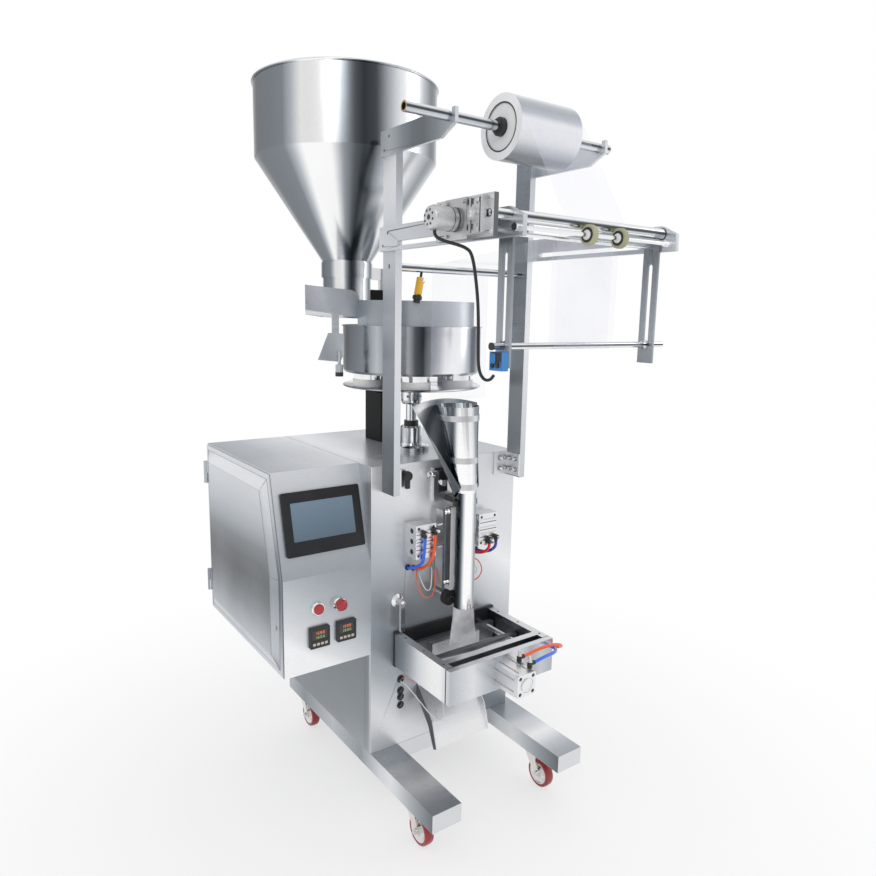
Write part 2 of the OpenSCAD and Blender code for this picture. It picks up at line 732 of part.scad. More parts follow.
module hanging_bars() color("silver") here()
    for (x = [in_l, in_r - hang_t]) difference() {
        translate([x, -tie_y - hang_w / 2, hang_z])
            cube([hang_t, hang_w, hang_h]);
        rod_x(x - 1, x + hang_t + 1, -tie_y, tie_z, tie_r);
        for (z = [dancer_z, dancer_z + dancer_travel])
            rod_x(x - 1, x + hang_t + 1, -tie_y, z, dancer_r + run_c);
        translate([x - 1, -tie_y - dancer_r - run_c, dancer_z])
            cube([hang_t + 2, 2 * (dancer_r + run_c), dancer_travel]);
    }

module drive_roller() here() {
    color("gainsboro") {
        rod_x(in_l + air, in_r - 2 - air, -drive_y, drive_z, drive_r);
        rod_x(gear_x - 11, in_r + low_arm_t - 1, -drive_y, drive_z, 6);
    }
    color("gainsboro") difference() {
        rod_x(gear_x + air, in_l - low_arm_t - air, -drive_y, drive_z, 10);
        rod_x(gear_x - 1, in_l, -drive_y, drive_z, 6);
    }
}

module collar_rod() here() {
    color("gainsboro") {
        rod_x(in_l - low_arm_t - 8, in_r + low_arm_t + 4,
            -pinch_y, pinch_z, 4);
        rod_x(in_l - low_arm_t - 8, in_l - low_arm_t - air,
            -pinch_y, pinch_z, 7);
        rod_x(in_r - 16, in_r - air, -pinch_y, pinch_z, 7);
    }
    for (x = [196, 280]) translate([x, -pinch_y, pinch_z])
        rotate([0, 90, 0]) {
            color("#b5b48c") rotate_extrude() polygon([[14, -6],
                [collar_r - 1.5, -6], [collar_r, -4.5], [collar_r, 4.5],
                [collar_r - 1.5, 6], [14, 6]]);
            color("#202020") rotate_extrude() polygon([[9, -6.5],
                [14, -6.5], [14, 6.5], [9, 6.5]]);
            color("white") rotate_extrude() polygon([[4, -9],
                [8, -9], [9, -8], [9, 8], [8, 9], [4, 9]]);
        }
}

module dancer_rod() color("gainsboro") here() {
    rod_x(in_l - 24, in_r + 47, -tie_y, dancer_z, dancer_r);
    for (x = [in_l + hang_t + air, in_r - hang_t - 6 - air])
        rod_x(x, x + 6, -tie_y, dancer_z, dancer_r + 4);
    color("#202020")
        rod_x(in_l - 27, in_l - 24, -tie_y, dancer_z, dancer_r + 1);
}

module guide_bar() color("gainsboro") here() {
    rod_x(in_l + mast_w, mast_rx, -guide_y, guide_z, guide_r);
    rod_x(in_l + 3, in_l + mast_w, -guide_y, guide_z, 5);
    rod_x(mast_rx, mast_rx + mast_w - 3, -guide_y, guide_z, 5);
}

motor_y = 368;
motor_z = low_arm_z + 29;

// Motor with a rounded tail bell, cooling step and flange
module gear_motor() color("#a8a8a6") here() {
    translate([gear_x - 28, -motor_y, motor_z]) rotate([0, -90, 0])
        rotate_extrude() polygon([[0, 0], [19, 0], [19, 6], [20.5, 7],
            [20.5, 34], [21.5, 34], [21.5, 48], [19, 54], [14, 57],
            [0, 57]]);
    translate([gear_x - 28, -motor_y - 30, motor_z - 34])
        cube([4, 60, 70]);
    for (y = [-24, 24], z = [-27, 29])
        rod_x(gear_x - 32, gear_x - 28, y - motor_y, motor_z + z, 3.5);
}

module gearbox() here() {
    color("#98989a") difference() {
        translate([gear_x - 24, -436, motor_z - 26]) cube([14, 98, 62]);
        for (k = [0:1:5]) for (z = [motor_z - 20, motor_z + 22])
            translate([gear_x - 25, -431 + k * 15, z]) cube([3, 9, 10]);
        rod_x(gear_x - 13, gear_x - 9, -drive_y, drive_z, 7);
    }
    color("#a8a8a6") rod_x(gear_x - 31, gear_x - 24, -416, motor_z + 6, 11);
    color("#3a3c40") difference() {
        translate([gear_x - 10, -452, motor_z - 32]) cube([10, 168, 72]);
        rod_x(gear_x - 11, gear_x + 1, -drive_y, drive_z, 7);
    }
    color("gainsboro") for (p = [[-296, -20], [-296, 14]])
        rod_x(gear_x, in_l - low_arm_t, p[0], motor_z + p[1], 5);
    color("gainsboro")
        rod_x(gear_x, in_l - low_arm_t, -drive_y + 26, motor_z - 14, 5);
}

// Cylinder, cone, neck and outlet as one revolved sheet with rolled bead
module hopper() color("silver") here() translate([hop_x, hop_y, 0]) {
    rotate_extrude($fn = 96) polygon([
        [outlet_r - hop_t, neck_z - 102], [outlet_r, neck_z - 102],
        [outlet_r, neck_z - 42], [neck_r, neck_z - 42],
        [neck_r, neck_z], [hop_r, hop_seam], [hop_r, hop_top],
        [hop_r - hop_t, hop_top], [hop_r - hop_t, hop_seam + 1],
        [neck_r - hop_t, neck_z + 1], [outlet_r - hop_t, neck_z - 3]]);
    translate([0, 0, hop_top - 3]) rotate_extrude($fn = 96)
        translate([hop_r + 0.8, 0]) circle(3, $fn = 24);
}

post_x = 236;
post_y = 348;

module hopper_clamp() color("gainsboro") here() {
    a = atan2(post_y - hop_y, post_x - hop_x);
    l = norm([post_x - hop_x, post_y - hop_y]);
    translate([hop_x, hop_y, 0]) {
        difference() {
            translate([0, 0, neck_z - 40]) cylinder(r = neck_r + 2, h = 37);
            translate([0, 0, neck_z - 41]) cylinder(r = neck_r, h = 39);
        }
        rotate([0, 0, a]) difference() {
            translate([neck_r + 1, -3, neck_z - 38])
                cube([l - neck_r - 13, 6, 32]);
            rod_y(neck_r + 18, -4, 4, neck_z - 22, 3.5);
        }
    }
    translate([post_x, post_y, cab_top + 417]) cylinder(r = 12,
        h = neck_z - cab_top - 417 - 6);
}

// Black bracket that carries the hopper and the feed trough
module hopper_column() color("#1c1d20") here() {
    translate([col_x, col_y - 60, cab_top]) cube([col_w, col_d + 60, 8]);
    translate([col_x, col_y, cab_top + 8])
        cube([col_w, col_d, 417 - 8]);
    translate([col_x, col_y - 58, cab_top + 8])
        cube([col_w, 58, disc_z - cab_top - 40]);
    translate([hop_x + outlet_r + 4, col_y - 46, cab_top + 387])
        cube([col_x + col_w - hop_x - outlet_r - 4, 46, 30]);
    translate([hop_x + outlet_r - 8, col_y - 2, cab_top + 387])
        cube([col_x - hop_x - outlet_r + 8, 24, 30]);
    for (x = [col_x + 12, col_x + col_w - 12]) translate([x,
        col_y - 50, cab_top + 8]) cylinder(r = 5, h = 5);
}

trough_x1 = -105;
trough_x2 = 38;
trough_y1 = 124;
trough_y2 = 322;
trough_z = cab_top + 342;
trough_fall = 18;

// Sloping trough beside the pan; its front wall runs on as a curved
// guard just inside the pan's rim
module feed_trough() color("silver") here() {
    difference() {
    union() {
    for (y = [trough_y1, trough_y2 - 2]) translate([0, y + 2, 0])
        rotate([90, 0, 0]) linear_extrude(2) polygon([
            [trough_x1, trough_z + trough_fall],
            [trough_x1, trough_z + 74], [trough_x2 - 21, trough_z + 66],
            [trough_x2 - 9, trough_z + 61], [trough_x2 - 2, trough_z + 53],
            [trough_x2, trough_z + 44], [trough_x2, trough_z]]);
    translate([0, trough_y2 - 2, 0]) rotate([90, 0, 0])
        linear_extrude(trough_y2 - trough_y1 - 4) polygon([
            [trough_x1, trough_z + trough_fall],
            [trough_x1, trough_z + trough_fall + 2],
            [trough_x2 + 14, trough_z + 1], [trough_x2 + 14, trough_z - 1]]);
    }
        translate([trough_x1, trough_y1 - 2, trough_z - 10])
            rotate([0, 0, -25]) translate([-120, -30, 0])
                cube([120, 280, 100]);
    }
    translate([pan_x, pan_y, pan_z + pan_h - 20]) rotate([0, 0, 187])
        rotate_extrude(angle = 110.5, $fn = 96)
            translate([pan_r - 7.5, 0]) square([1.5, fence_h + 20]);
    translate([18, trough_y2 - 1, trough_z + 26])
        cube([16, 14, 40]);
    translate([18, trough_y2 + 12, trough_z + 50])
        cube([hop_x + outlet_r - 26, 3, 16]);
    translate([0, trough_y1, 0]) {
        translate([-37, -3, trough_z - 42]) cube([18, 3, 60]);
        translate([0, -3, 0]) rotate([90, 0, 0]) linear_extrude(3)
            polygon([[-48, trough_z - 35], [-8, trough_z - 37],
                [-7, trough_z - 86], [-18, trough_z - 104],
                [-75, trough_z - 98]]);
        translate([-22, -9, trough_z - 112]) cylinder(r = 4, h = 34);
        translate([-22, -9, trough_z - 128]) cylinder(r = 9, h = 18);
        color("#202020") translate([-22, -9, trough_z - 138])
            cylinder(r = 9.5, h = 10);
        translate([-22, -9, trough_z - 98]) cube([5, 8, 10]);
        translate([-28, -6, trough_z - 20]) rotate([90, 0, 0])
            cylinder(r = 5, h = 8, center = true);
    }
}

module pan() color("silver") here() translate([pan_x, pan_y, pan_z])
    difference() {
        rotate_extrude($fn = 96) polygon([[shaft_r, 0],
            [pan_r - 6, 0], [pan_r - 2, 6], [pan_r - 2, pan_h - 3],
            [pan_r + 1, pan_h - 3], [pan_r + 1, pan_h],
            [pan_r - 5, pan_h], [pan_r - 5, 8], [pan_r - 7, 5],
            [shaft_r, 5]]);
        for (k = [0:cups - 1]) rotate([0, 0, k * 360 / cups])
            translate([cup_pcd_r, 0, -1]) cylinder(r = cup_r + 2, h = 8);
    }

// Upper halves of the telescopic measuring cups
module measuring_cups() color("gainsboro") here()
    translate([pan_x, pan_y, pan_z]) for (k = [0:cups - 1])
        rotate([0, 0, k * 360 / cups]) translate([cup_pcd_r, 0, -24])
            rotate_extrude() polygon([[cup_r, 0], [cup_r + 1.8, 0],
                [cup_r + 1.8, 22], [cup_r + 8, 22], [cup_r + 8, 23.8],
                [cup_r + 2, 24], [cup_r + 2, 29], [cup_r, 29]]);

// Lower halves on a disc of their own, which is raised to dose less
module lower_disc() here() translate([pan_x, pan_y, disc_z]) {
    color("gainsboro") difference() {
        rotate_extrude($fn = 96) polygon([[shaft_r + run_c, 0],
            [pan_r - 3, 0], [pan_r - 1, 1.5], [pan_r - 1, 3.5],
            [pan_r - 3, 5], [shaft_r + run_c, 5]]);
        for (k = [0:cups - 1]) rotate([0, 0, k * 360 / cups])
            translate([cup_pcd_r, 0, -1]) cylinder(r = cup_r + 3, h = 8);
    }
    color("whitesmoke") for (k = [0:cups - 1])
        rotate([0, 0, k * 360 / cups]) translate([cup_pcd_r, 0, 0])
            rotate_extrude() polygon([[cup_r + 2.4, 0], [cup_r + 5, 0],
                [cup_r + 5, 22], [cup_r + 2.4, 22]]);
    color("#202020") rotate_extrude() polygon([[shaft_r + run_c, 5],
        [30, 5], [30, 16], [shaft_r + run_c, 16]]);
}

module drive_shaft() color("gainsboro") here()
    translate([pan_x, pan_y, 0]) {
        translate([0, 0, cab_top + 24])
            cylinder(r = shaft_r, h = pan_z - cab_top - 24 + 5);
        translate([0, 0, pan_z + 5]) rotate_extrude() polygon([[0, 0],
            [26, 0], [26, 8], [12, 14], [0, 16]]);
        translate([0, 0, disc_z - 48]) difference() {
            rotate_extrude() polygon([[shaft_r, 0], [22, 0], [26, 4],
                [27, 10], [27, 34], [shaft_r, 34]]);
            for (k = [0:3]) rotate([0, 0, 45 + k * 90])
                translate([20, 0, 20]) rotate([0, 90, 0])
                    cylinder(r = 3, h = 10, $fn = 24);
        }
    }

module shaft_housing() color("silver") here()
    translate([pan_x, pan_y, cab_top]) {
        difference() {
            rotate_extrude() polygon([[shaft_r + 0.5, 0], [48, 0],
                [48, 10], [44, 13], [30, 14], [28, 20], [28, 60],
                [25, 65], [shaft_r + 0.5, 65]]);
            for (k = [0:5]) rotate([0, 0, 30 + k * 60])
                translate([38, 0, 9]) cylinder(r = 4.5, h = 6, $fn = 24);
        }
        for (k = [0:5]) rotate([0, 0, 30 + k * 60])
            translate([38, 0, 9]) cylinder(r = 4.5, h = 5, $fn = 24);
        color("#202020") rotate_extrude() polygon([[shaft_r + 0.5, 65],
            [19, 65], [19, 78], [shaft_r + 0.5, 78]]);
    }

function f_ring(z, g) = let (
    u = max(0, (z - funnel_low) / (funnel_top - funnel_low)),
    r = form_r + u * (funnel_r - form_r) + g)
    [for (k = [0:35]) [r * cos(k * 10),
        r * sin(k * 10) + u * funnel_lean, z]];
function f_band(z) = [f_ring(z, 0), f_ring(z, 1.4), f_ring(z + 14, 1.4),
    f_ring(z + 14, 0)];

// Forming tube with its leaning funnel and three bands
module forming_tube() color("silver") here()
    translate([mid_x, -form_y, 0])
        ring_shell(concat([f_ring(form_low, 0), f_ring(funnel_low, 0)],
            f_band(funnel_low + 8), f_band(funnel_low + 72),
            f_band(funnel_top - 34), [f_ring(funnel_top, 0)]),
            [f_ring(form_low, -1.5), f_ring(funnel_low, -1.5),
             f_ring(funnel_top, -1.5)]);

// The collar is a sheet ruled from a curved lip down to the tube: its
// lip spreads to the film's full width, its foot wraps the tube's back
col_n = 24;
function wrap_a(k) = -22 + (180 + 44) * k / col_n;
function foot(k, g) = let (a = wrap_a(k), w = abs(k / col_n - 0.5) * 2)
    [(form_r + 4 + g) * cos(a), (form_r + 4 + g) * sin(a),
     funnel_low - 20 + 34 * w * w];
function lip(k, g) = let (s = cos(180 * k / col_n), b = 1 - s * s)
    [s * wing_w, form_y + 15 + 12 * b + g, funnel_top - 4 + 14 * b];
function mid(k, g, u) = let (p = foot(k, g), q = lip(k, g))
    p + (q - p) * u + [0, 10 * u * (1 - u) * 4 *
        (0.5 - abs(k / col_n - 0.5)), 0];
rows = 7;
module forming_collar() color("silver") here()
    translate([mid_x, -form_y, 0]) {
        n = col_n + 1;
        a = [for (i = [0:rows - 1], k = [0:col_n])
            mid(k, 0, i / (rows - 1))];
        b = [for (i = [0:rows - 1], k = [0:col_n])
            mid(k, 2, i / (rows - 1))];
        h = n * rows;
        top = [for (i = [0:rows - 2], k = [0:col_n - 1])
            [i * n + k, (i + 1) * n + k, (i + 1) * n + k + 1,
             i * n + k + 1]];
        back = [for (q = top) [q[3] + h, q[2] + h, q[1] + h, q[0] + h]];
        e1 = [for (k = [0:col_n - 1]) [k, k + 1, k + 1 + h, k + h]];
        e2 = [for (k = [0:col_n - 1]) let (m = (rows - 1) * n + k)
            [m + h, m + 1 + h, m + 1, m]];
        e3 = [for (i = [0:rows - 2]) let (m = i * n)
            [m + h, m + n + h, m + n, m]];
        e4 = [for (i = [0:rows - 2]) let (m = i * n + col_n)
            [m, m + n, m + n + h, m + h]];
        polyhedron(concat(a, b), concat(top, back, e1, e2, e3, e4));
    }

// Half clamp behind the tube, on a plate with a block and its knobs
module former_holder() here() {
    z = funnel_low - 34 - air;
    color("#2a2b2e") {
        difference() {
            union() {
                translate([mid_x, -form_y, z])
                    cylinder(r = form_r + 8, h = 14);
                translate([mid_x - 14, -form_y, z])
                    cube([28, form_y - 6, 14]);
            }
            translate([mid_x, -form_y, z - 1])
                cylinder(r = form_r, h = 16);
            translate([mid_x - 40, -form_y - 40, z - 1])
                cube([80, 38, 16]);
        }
        translate([mid_x - 46, -26, cab_top - 77]) cube([26, 20, 54]);
    }
    color("silver") translate([mid_x - 48, -8, z]) cube([66, 8, 84]);
    color("gainsboro") {
        rod_x(mid_x - 62, mid_x - 44, -15, cab_top - 32, 8);
        rod_x(mid_x - 70, mid_x - 61, -15, cab_top - 32, 6);
        rod_y(mid_x - 43, -36, -25, cab_top - 50, 4);
        rod_y(mid_x - 43, -46, -35, cab_top - 50, 8);
    }
}

cyl_z = cab_top - 230;
cyl_h = 84;
cyl_d = 38;
cyl_w = 59;
cyl_lx = 96;
cyl_rx = 2 * mid_x - cyl_lx - cyl_w;

module sealer_cylinder(x) difference() {
    translate([x, -10 - cyl_d, cyl_z]) cube([cyl_w, cyl_d, cyl_h]);
    for (z = [14, 34, 50, 70])
        translate([x - 1, -11 - cyl_d, cyl_z + z - 2])
            cube([cyl_w + 2, 4, 4]);
    for (z = [14, 42, 70]) rod_x(x - 1, x + 5, -10 - cyl_d / 2,
        cyl_z + z, 5);
}

module sealer_cylinders() color("gainsboro") here() {
    for (x = [cyl_lx, cyl_rx]) translate([x + 3, -10, cyl_z + 3])
        cube([cyl_w - 6, 10, cyl_h - 6]);
    for (s = [0, 1]) translate([s == 0 ? cyl_lx + cyl_w : cyl_rx, 0, 0])
        mirror([s, 0, 0]) difference() {
            union() {
                sealer_cylinder(-cyl_w);
                for (z = [14, 70])
                    rod_x(-1, 6, -10 - cyl_d / 2, cyl_z + z, 5.5);
            }
            for (z = [14, 70]) rod_x(-24, 7, -10 - cyl_d / 2,
                cyl_z + z, 3 + run_c);
        }
}

bar_z = cab_top - 328;

// Vertical seal bar with backing plate, sprung studs and push rods
module seal_bar() {
    translate([-12, -50, bar_z]) cube([12, 22, bar_h]);
    for (z = [16, bar_h - 16]) rod_x(-24, -12, -30, bar_z + z, 4);
    for (z = [16, bar_h - 16]) rod_x(-21, -14, -30, bar_z + z, 7);
    translate([-30, -42, bar_z + 6]) cube([6, 30, bar_h - 12]);
    for (z = [14, 70]) rod_x(-74, -30, -10 - cyl_d / 2, cyl_z + z, 3);
}

module seal_bar_left() color("gainsboro") here()
    translate([mid_x - bar_open - 0.6, 0, 0]) seal_bar();
module seal_bar_right() color("gainsboro") here()
    translate([mid_x + bar_open + 0.6, 0, 0]) mirror([1, 0, 0]) seal_bar();

pull_z = cab_top - 349;

module pull_wheel(s) translate([mid_x + s * (pull_r + 0.6), 0, pull_z]) {
    color("#202020") translate([0, -34, 0]) rotate([90, 0, 0])
        rotate_extrude() polygon([[5, 0], [pull_r - 1, 0], [pull_r, 1],
            [pull_r, 13], [pull_r - 1, 14], [8, 14], [8, 16], [5, 16]]);
    color("gainsboro") rod_y(0, -52, -air, 0, 5);
}

module pull_wheel_left() here() pull_wheel(-1);
module pull_wheel_right() here() pull_wheel(1);

module jaw_frame() here() {
    color("silver") {
        for (x = [jaw_l, jaw_r - side_t]) difference() {
            translate([x, 16 - jaw_d, jaw_z]) cube([side_t, jaw_d - 24,
                jaw_h]);
            for (y = [-40, -120, -200])
                translate([x + side_t / 2, y, jaw_top - 2])
                    cylinder(r = 3, h = 3, $fn = 24);
        }
        difference() {
            translate([jaw_l, -jaw_d, jaw_z]) cube([jaw_w, 16, jaw_h]);
            rod_y(mid_x, -jaw_d - 1, 17 - jaw_d, piston_z, 8 + run_c);
        }
        translate([jaw_l + side_t, -204, jaw_top - 14])
            cube([jaw_w - 2 * side_t, 20, 14]);
    }
    color("#202020") difference() {
        translate([jaw_l, -8, jaw_z - 4]) cube([jaw_w, 8, jaw_h + 8]);
        translate([jaw_l + side_t, -9, jaw_z + 10])
            cube([20, 10, 20]);
    }
    color("gainsboro") for (x = [rod_l, rod_rr])
        rod_y(x, 16 - jaw_d, -8, rod_z, rod_r);
}

module jaw_block(y, d, h) difference() {
    translate([jaw_l + side_t + 4, y, jaw_z + 8])
        cube([jaw_w - 2 * side_t - 8, d, h]);
    for (x = [rod_l, rod_rr])
        rod_y(x, y - 1, y + d + 1, rod_z, rod_r + run_c);
}

module jaw_rear() here() {
    y = jaw_face - form_y;
    color("#707478") jaw_block(y + 14, 14, 54);
    color("silver") translate([mid_x - 75, y, jaw_z + 18]) {
        difference() {
            cube([150, 14, 36]);
            for (z = [6:4:30]) translate([-1, -1, z]) cube([152, 2, 1.5]);
        }
    }
}

module jaw_front() here() {
    y = -jaw_face - form_y;
    color("#707478") jaw_block(y - 30, 16, 54);
    color("silver") translate([mid_x - 75, y - 14, jaw_z + 18]) {
        difference() {
            cube([150, 14, 36]);
            for (z = [6:4:30]) translate([-1, 13, z]) cube([152, 2, 1.5]);
        }
    }
    color("gainsboro")
        rod_y(mid_x, -jaw_d - 34, y - 30, piston_z, 8);
}

// Grooved square barrel with end cap, tie screws and round boss
module jaw_cylinder() color("gainsboro") here()
    translate([mid_x, -jaw_d, piston_z]) rotate([90, 0, 0]) {
        s = barrel_s;
        difference() {
            linear_extrude(barrel_l - 12) difference() {
                square(s, center = true);
                for (a = [0:90:270]) rotate(a) for (x = [-14, 14])
                    translate([x, s / 2]) square([5, 8], center = true);
            }
            translate([0, 0, -1]) cylinder(r = 16, h = 54);
        }
        translate([0, 0, barrel_l - 12]) difference() {
            rounded(s, s, 5, 12);
            for (x = [-1, 1], y = [-1, 1])
                translate([x * (s / 2 - 8), y * (s / 2 - 8), 8])
                    cylinder(r = 4.5, h = 5, $fn = 24);
            translate([0, 0, 10]) difference() {
                cylinder(r = 19, h = 3);
                cylinder(r = 16, h = 4);
            }
        }
        difference() {
            translate([0, 0, 0]) cylinder(r = 16, h = 4);
            translate([0, 0, -1]) cylinder(r = 8 + run_c, h = 6);
        }
    }

// Elbow fitting: black body on its port with a metal silencer on top
module elbow(p, a) translate(p) {
    color("#202020") {
        cylinder(r = 6, h = 14);
        translate([0, 0, 9]) rotate([0, 90, a]) cylinder(r = 5, h = 14);
    }
    color("gainsboro") translate([0, 0, 14]) {
        cylinder(r = 4, h = 3, $fn = 24);
        translate([0, 0, 3]) cylinder(r = 3, h = 10, $fn = 24);
    }
}

module side_elbow(x, z) translate([x, -10 - cyl_d, z]) {
    color("#202020") {
        rotate([90, 0, 0]) cylinder(r = 6, h = 12);
        translate([0, -6, -12]) cylinder(r = 5, h = 12);
    }
    color("gainsboro") rotate([90, 0, 0]) translate([0, 0, 12])
        cylinder(r = 3.5, h = 10, $fn = 24);
}

module air_fittings() here() {
    elbow([248, -262, piston_z + barrel_s / 2], 0);
    elbow([248, -298, piston_z + barrel_s / 2], 0);
    side_elbow(cyl_lx + 22, cyl_z + 65);
    side_elbow(cyl_lx + 52, cyl_z + 69);
    side_elbow(cyl_rx + 30, cyl_z + 17);
    side_elbow(cyl_rx + 52, cyl_z + 20);
}

// Bag chute: a folded ramp with side flanges under the jaw box
module chute() color("silver") here() {
    top = jaw_z - 77;
    pts = [[0, top], [-59, top - 77], [-86, top - 136]];
    w = 168;
    for (x = [mid_x - w / 2 - 2, mid_x + w / 2])
        plate_yz(x, 2, [[0, top + 4], [0, top - 26], pts[1] + [4, -8],
            pts[2] + [6, -3], pts[2] + [-4, 2], pts[1] + [-10, 8]]);
    plate_yz(mid_x - w / 2, w, [pts[0], [0, top - 3], pts[1] + [2, -2],
        pts[2] + [2, -1], pts[2], pts[1]]);
    translate([mid_x - w / 2, -2, top - 14]) cube([w, 2, 40]);
}

module photo_sensors() here() {
    // level sensor on its clip below the guide bar
    translate([118, -guide_y, guide_z]) {
        color("#202020") difference() {
            rotate([0, 11, 0]) translate([0, 0, -guide_r - 12])
                cylinder(r = 3, h = 12);
            rod_x(-7, 9, 0, 0, guide_r);
        }
        rotate([0, 11, 0]) translate([0, 0, -guide_r - 2]) {
            color("gainsboro") translate([0, 0, -20])
                cylinder(r = 9, h = 10);
            color("orange") translate([0, 0, -49]) cylinder(r = 9, h = 29);
            color("#202020") translate([0, 0, -60])
                cylinder(r = 11, h = 8);
            color("#202020") translate([0, 0, -68]) cylinder(r = 8, h = 19);
        }
    }
    // print mark sensor clamped to the left hanging bar
    translate([in_l - 16, -tie_y - 18, dancer_z - 44]) {
        color("dodgerblue") difference() {
            cube([16, 34, 34]);
            translate([-1, 4, 18]) cube([3, 14, 12]);
        }
        color("#202020") translate([0.5, 4.5, 18.5]) cube([1.5, 13, 11]);
        color("gainsboro") rod_x(-3, 0, 24, 9, 4);
        color("gainsboro") rod_x(-3, 0, 10, 9, 4);
    }
}

// Chrome locking handle of the jaw box
module support_lever() color("gainsboro") here() translate([73, 0, cab_top - 343]) {
    rotate([90, 0, 0]) rotate_extrude() polygon([[0, 0.3], [17, 0.3],
        [17, 4], [9, 9], [8, 26], [6, 30], [0, 31]]);
    translate([-6, -30, -72]) cube([12, 8, 72]);
    rod_y(0, -30, -22, 0, 8);
}

// Film: straight spans between the rollers, and the finished bag
module span(y1, z1, y2, z2, x1, w) {
    l = norm([y2 - y1, z2 - z1]);
    a = atan2(z2 - z1, y2 - y1);
    translate([x1, y1, z1]) rotate([a, 0, 0]) cube([w, l, 0.6]);
}

function roll_hit() = let (
    v = [-drive_y - 1 + reel_y, drive_z + drive_r + 0.5 - reel_z],
    g = roll_r + 0.4, a = atan2(v[1], v[0]) - acos(g / norm(v)))
    [-reel_y + g * cos(a), reel_z + g * sin(a)];

module film_web() color([0.9, 0.92, 1, 0.3]) here() {
    p = roll_hit();
    span(-drive_y - 1, drive_z + drive_r + 0.5, p[0], p[1], roll_x, film_w);
    translate([roll_x, -drive_y + drive_r + 0.4, dancer_z - 2])
        cube([film_w, 0.6, drive_z - dancer_z]);
    translate([roll_x, -tie_y + dancer_r + 0.4, dancer_z - 2])
        cube([film_w, 0.6, tie_z - dancer_z + 4]);
    span(-tie_y + dancer_r + 3, tie_z + tie_r + 1, -guide_y - 1,
        guide_z + guide_r + 0.4, roll_x, film_w);
    translate([mid_x - 83, -guide_y - guide_r - 1, funnel_top + 14])
        cube([166, 0.6, guide_z - funnel_top - 14]);
    bag_ring = function (z, hw, hd) [for (k = [0:31])
        [mid_x + hw * cos(k * 11.25), -form_y + hd * sin(k * 11.25), z]];
    ring_shell([bag_ring(form_low - 94, 43, 0.9),
        bag_ring(form_low - 66, 39, 7), bag_ring(form_low - 30, 31, 19),
        bag_ring(form_low - 0.4, 25.6, 25.6)],
        [bag_ring(form_low - 94, 42.4, 0.3),
        bag_ring(form_low - 66, 38.4, 6.4),
        bag_ring(form_low - 30, 30.4, 18.4),
        bag_ring(form_low - 0.4, 25, 25)]);
}

module air_hoses() here() {
    color("royalblue") tube_path(lift(hose_lb), 4, 10);
    color("orangered") tube_path(lift(hose_lo), 4, 10);
    color("royalblue") tube_path(lift(hose_rb), 4, 10);
    color("red") tube_path(lift(hose_rr), 4, 10);
    color("orangered") tube_path(lift(hose_fo), 4, 10);
    color("royalblue") tube_path(lift(hose_fb), 4, 10);
}

module heater_wires() here() {
    color("coral") tube_path(lift(wire_l1), 1.4, 8);
    color("white") tube_path(lift(wire_l2), 1.4, 8);
    color("coral") tube_path(lift(wire_r1), 1.4, 8);
    color("white") tube_path(lift(wire_r2), 1.4, 8);
    color("white") tube_path(lift(wire_j1), 1.4, 8);
    color("salmon") tube_path(lift(wire_j2), 1.4, 8);
}

module motor_cable() color("#202020") here() tube_path(lift(cable_m), 3, 8);

base_frame();
fork_fl();
fork_fr();
fork_rl();
fork_rr();
wheel_fl();
wheel_fr();
wheel_rl();
wheel_rr();
cabinet_shell();
front_plate();
rear_door();
control_box();
side_door();
touch_screen();
controllers();
button_rings();
start_button();
stop_button();
masts();
reel_arms();
reel_shaft();
film_roll();
roller_arms();
hanging_bars();
drive_roller();
collar_rod();
dancer_rod();
guide_bar();
gear_motor();
gearbox();
hopper();
hopper_clamp();
hopper_column();
feed_trough();
pan();
measuring_cups();
lower_disc();
drive_shaft();
shaft_housing();
forming_tube();
forming_collar();
former_holder();
sealer_cylinders();
seal_bar_left();
seal_bar_right();
pull_wheel_left();
pull_wheel_right();
jaw_frame();
jaw_rear();
jaw_front();
jaw_cylinder();
air_fittings();
chute();
photo_sensors();
support_lever();
film_web();
air_hoses();
heater_wires();
motor_cable();
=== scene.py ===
import bpy
from math import sin, cos, pi, radians, atan2, hypot, acos
from mathutils import Vector, Matrix

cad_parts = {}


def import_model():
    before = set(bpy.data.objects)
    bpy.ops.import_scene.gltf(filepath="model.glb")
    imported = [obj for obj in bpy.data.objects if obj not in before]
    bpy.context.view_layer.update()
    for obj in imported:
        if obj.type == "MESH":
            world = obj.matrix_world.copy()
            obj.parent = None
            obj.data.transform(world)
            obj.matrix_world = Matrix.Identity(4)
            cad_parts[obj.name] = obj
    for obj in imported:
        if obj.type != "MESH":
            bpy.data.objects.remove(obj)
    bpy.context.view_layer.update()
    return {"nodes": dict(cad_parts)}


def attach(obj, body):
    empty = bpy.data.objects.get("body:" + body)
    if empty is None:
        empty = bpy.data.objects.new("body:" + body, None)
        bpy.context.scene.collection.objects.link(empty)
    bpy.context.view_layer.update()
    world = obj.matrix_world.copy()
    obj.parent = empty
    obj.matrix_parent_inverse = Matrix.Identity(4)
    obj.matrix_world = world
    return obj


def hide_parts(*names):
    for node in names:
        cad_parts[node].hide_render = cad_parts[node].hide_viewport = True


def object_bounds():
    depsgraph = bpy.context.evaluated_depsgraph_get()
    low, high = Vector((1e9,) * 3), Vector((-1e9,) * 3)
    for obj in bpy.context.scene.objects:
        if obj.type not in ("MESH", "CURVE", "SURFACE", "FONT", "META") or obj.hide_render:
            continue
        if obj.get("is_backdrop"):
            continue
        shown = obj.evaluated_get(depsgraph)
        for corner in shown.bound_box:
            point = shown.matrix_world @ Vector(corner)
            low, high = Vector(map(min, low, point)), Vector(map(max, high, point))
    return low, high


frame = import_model()
N = frame["nodes"]

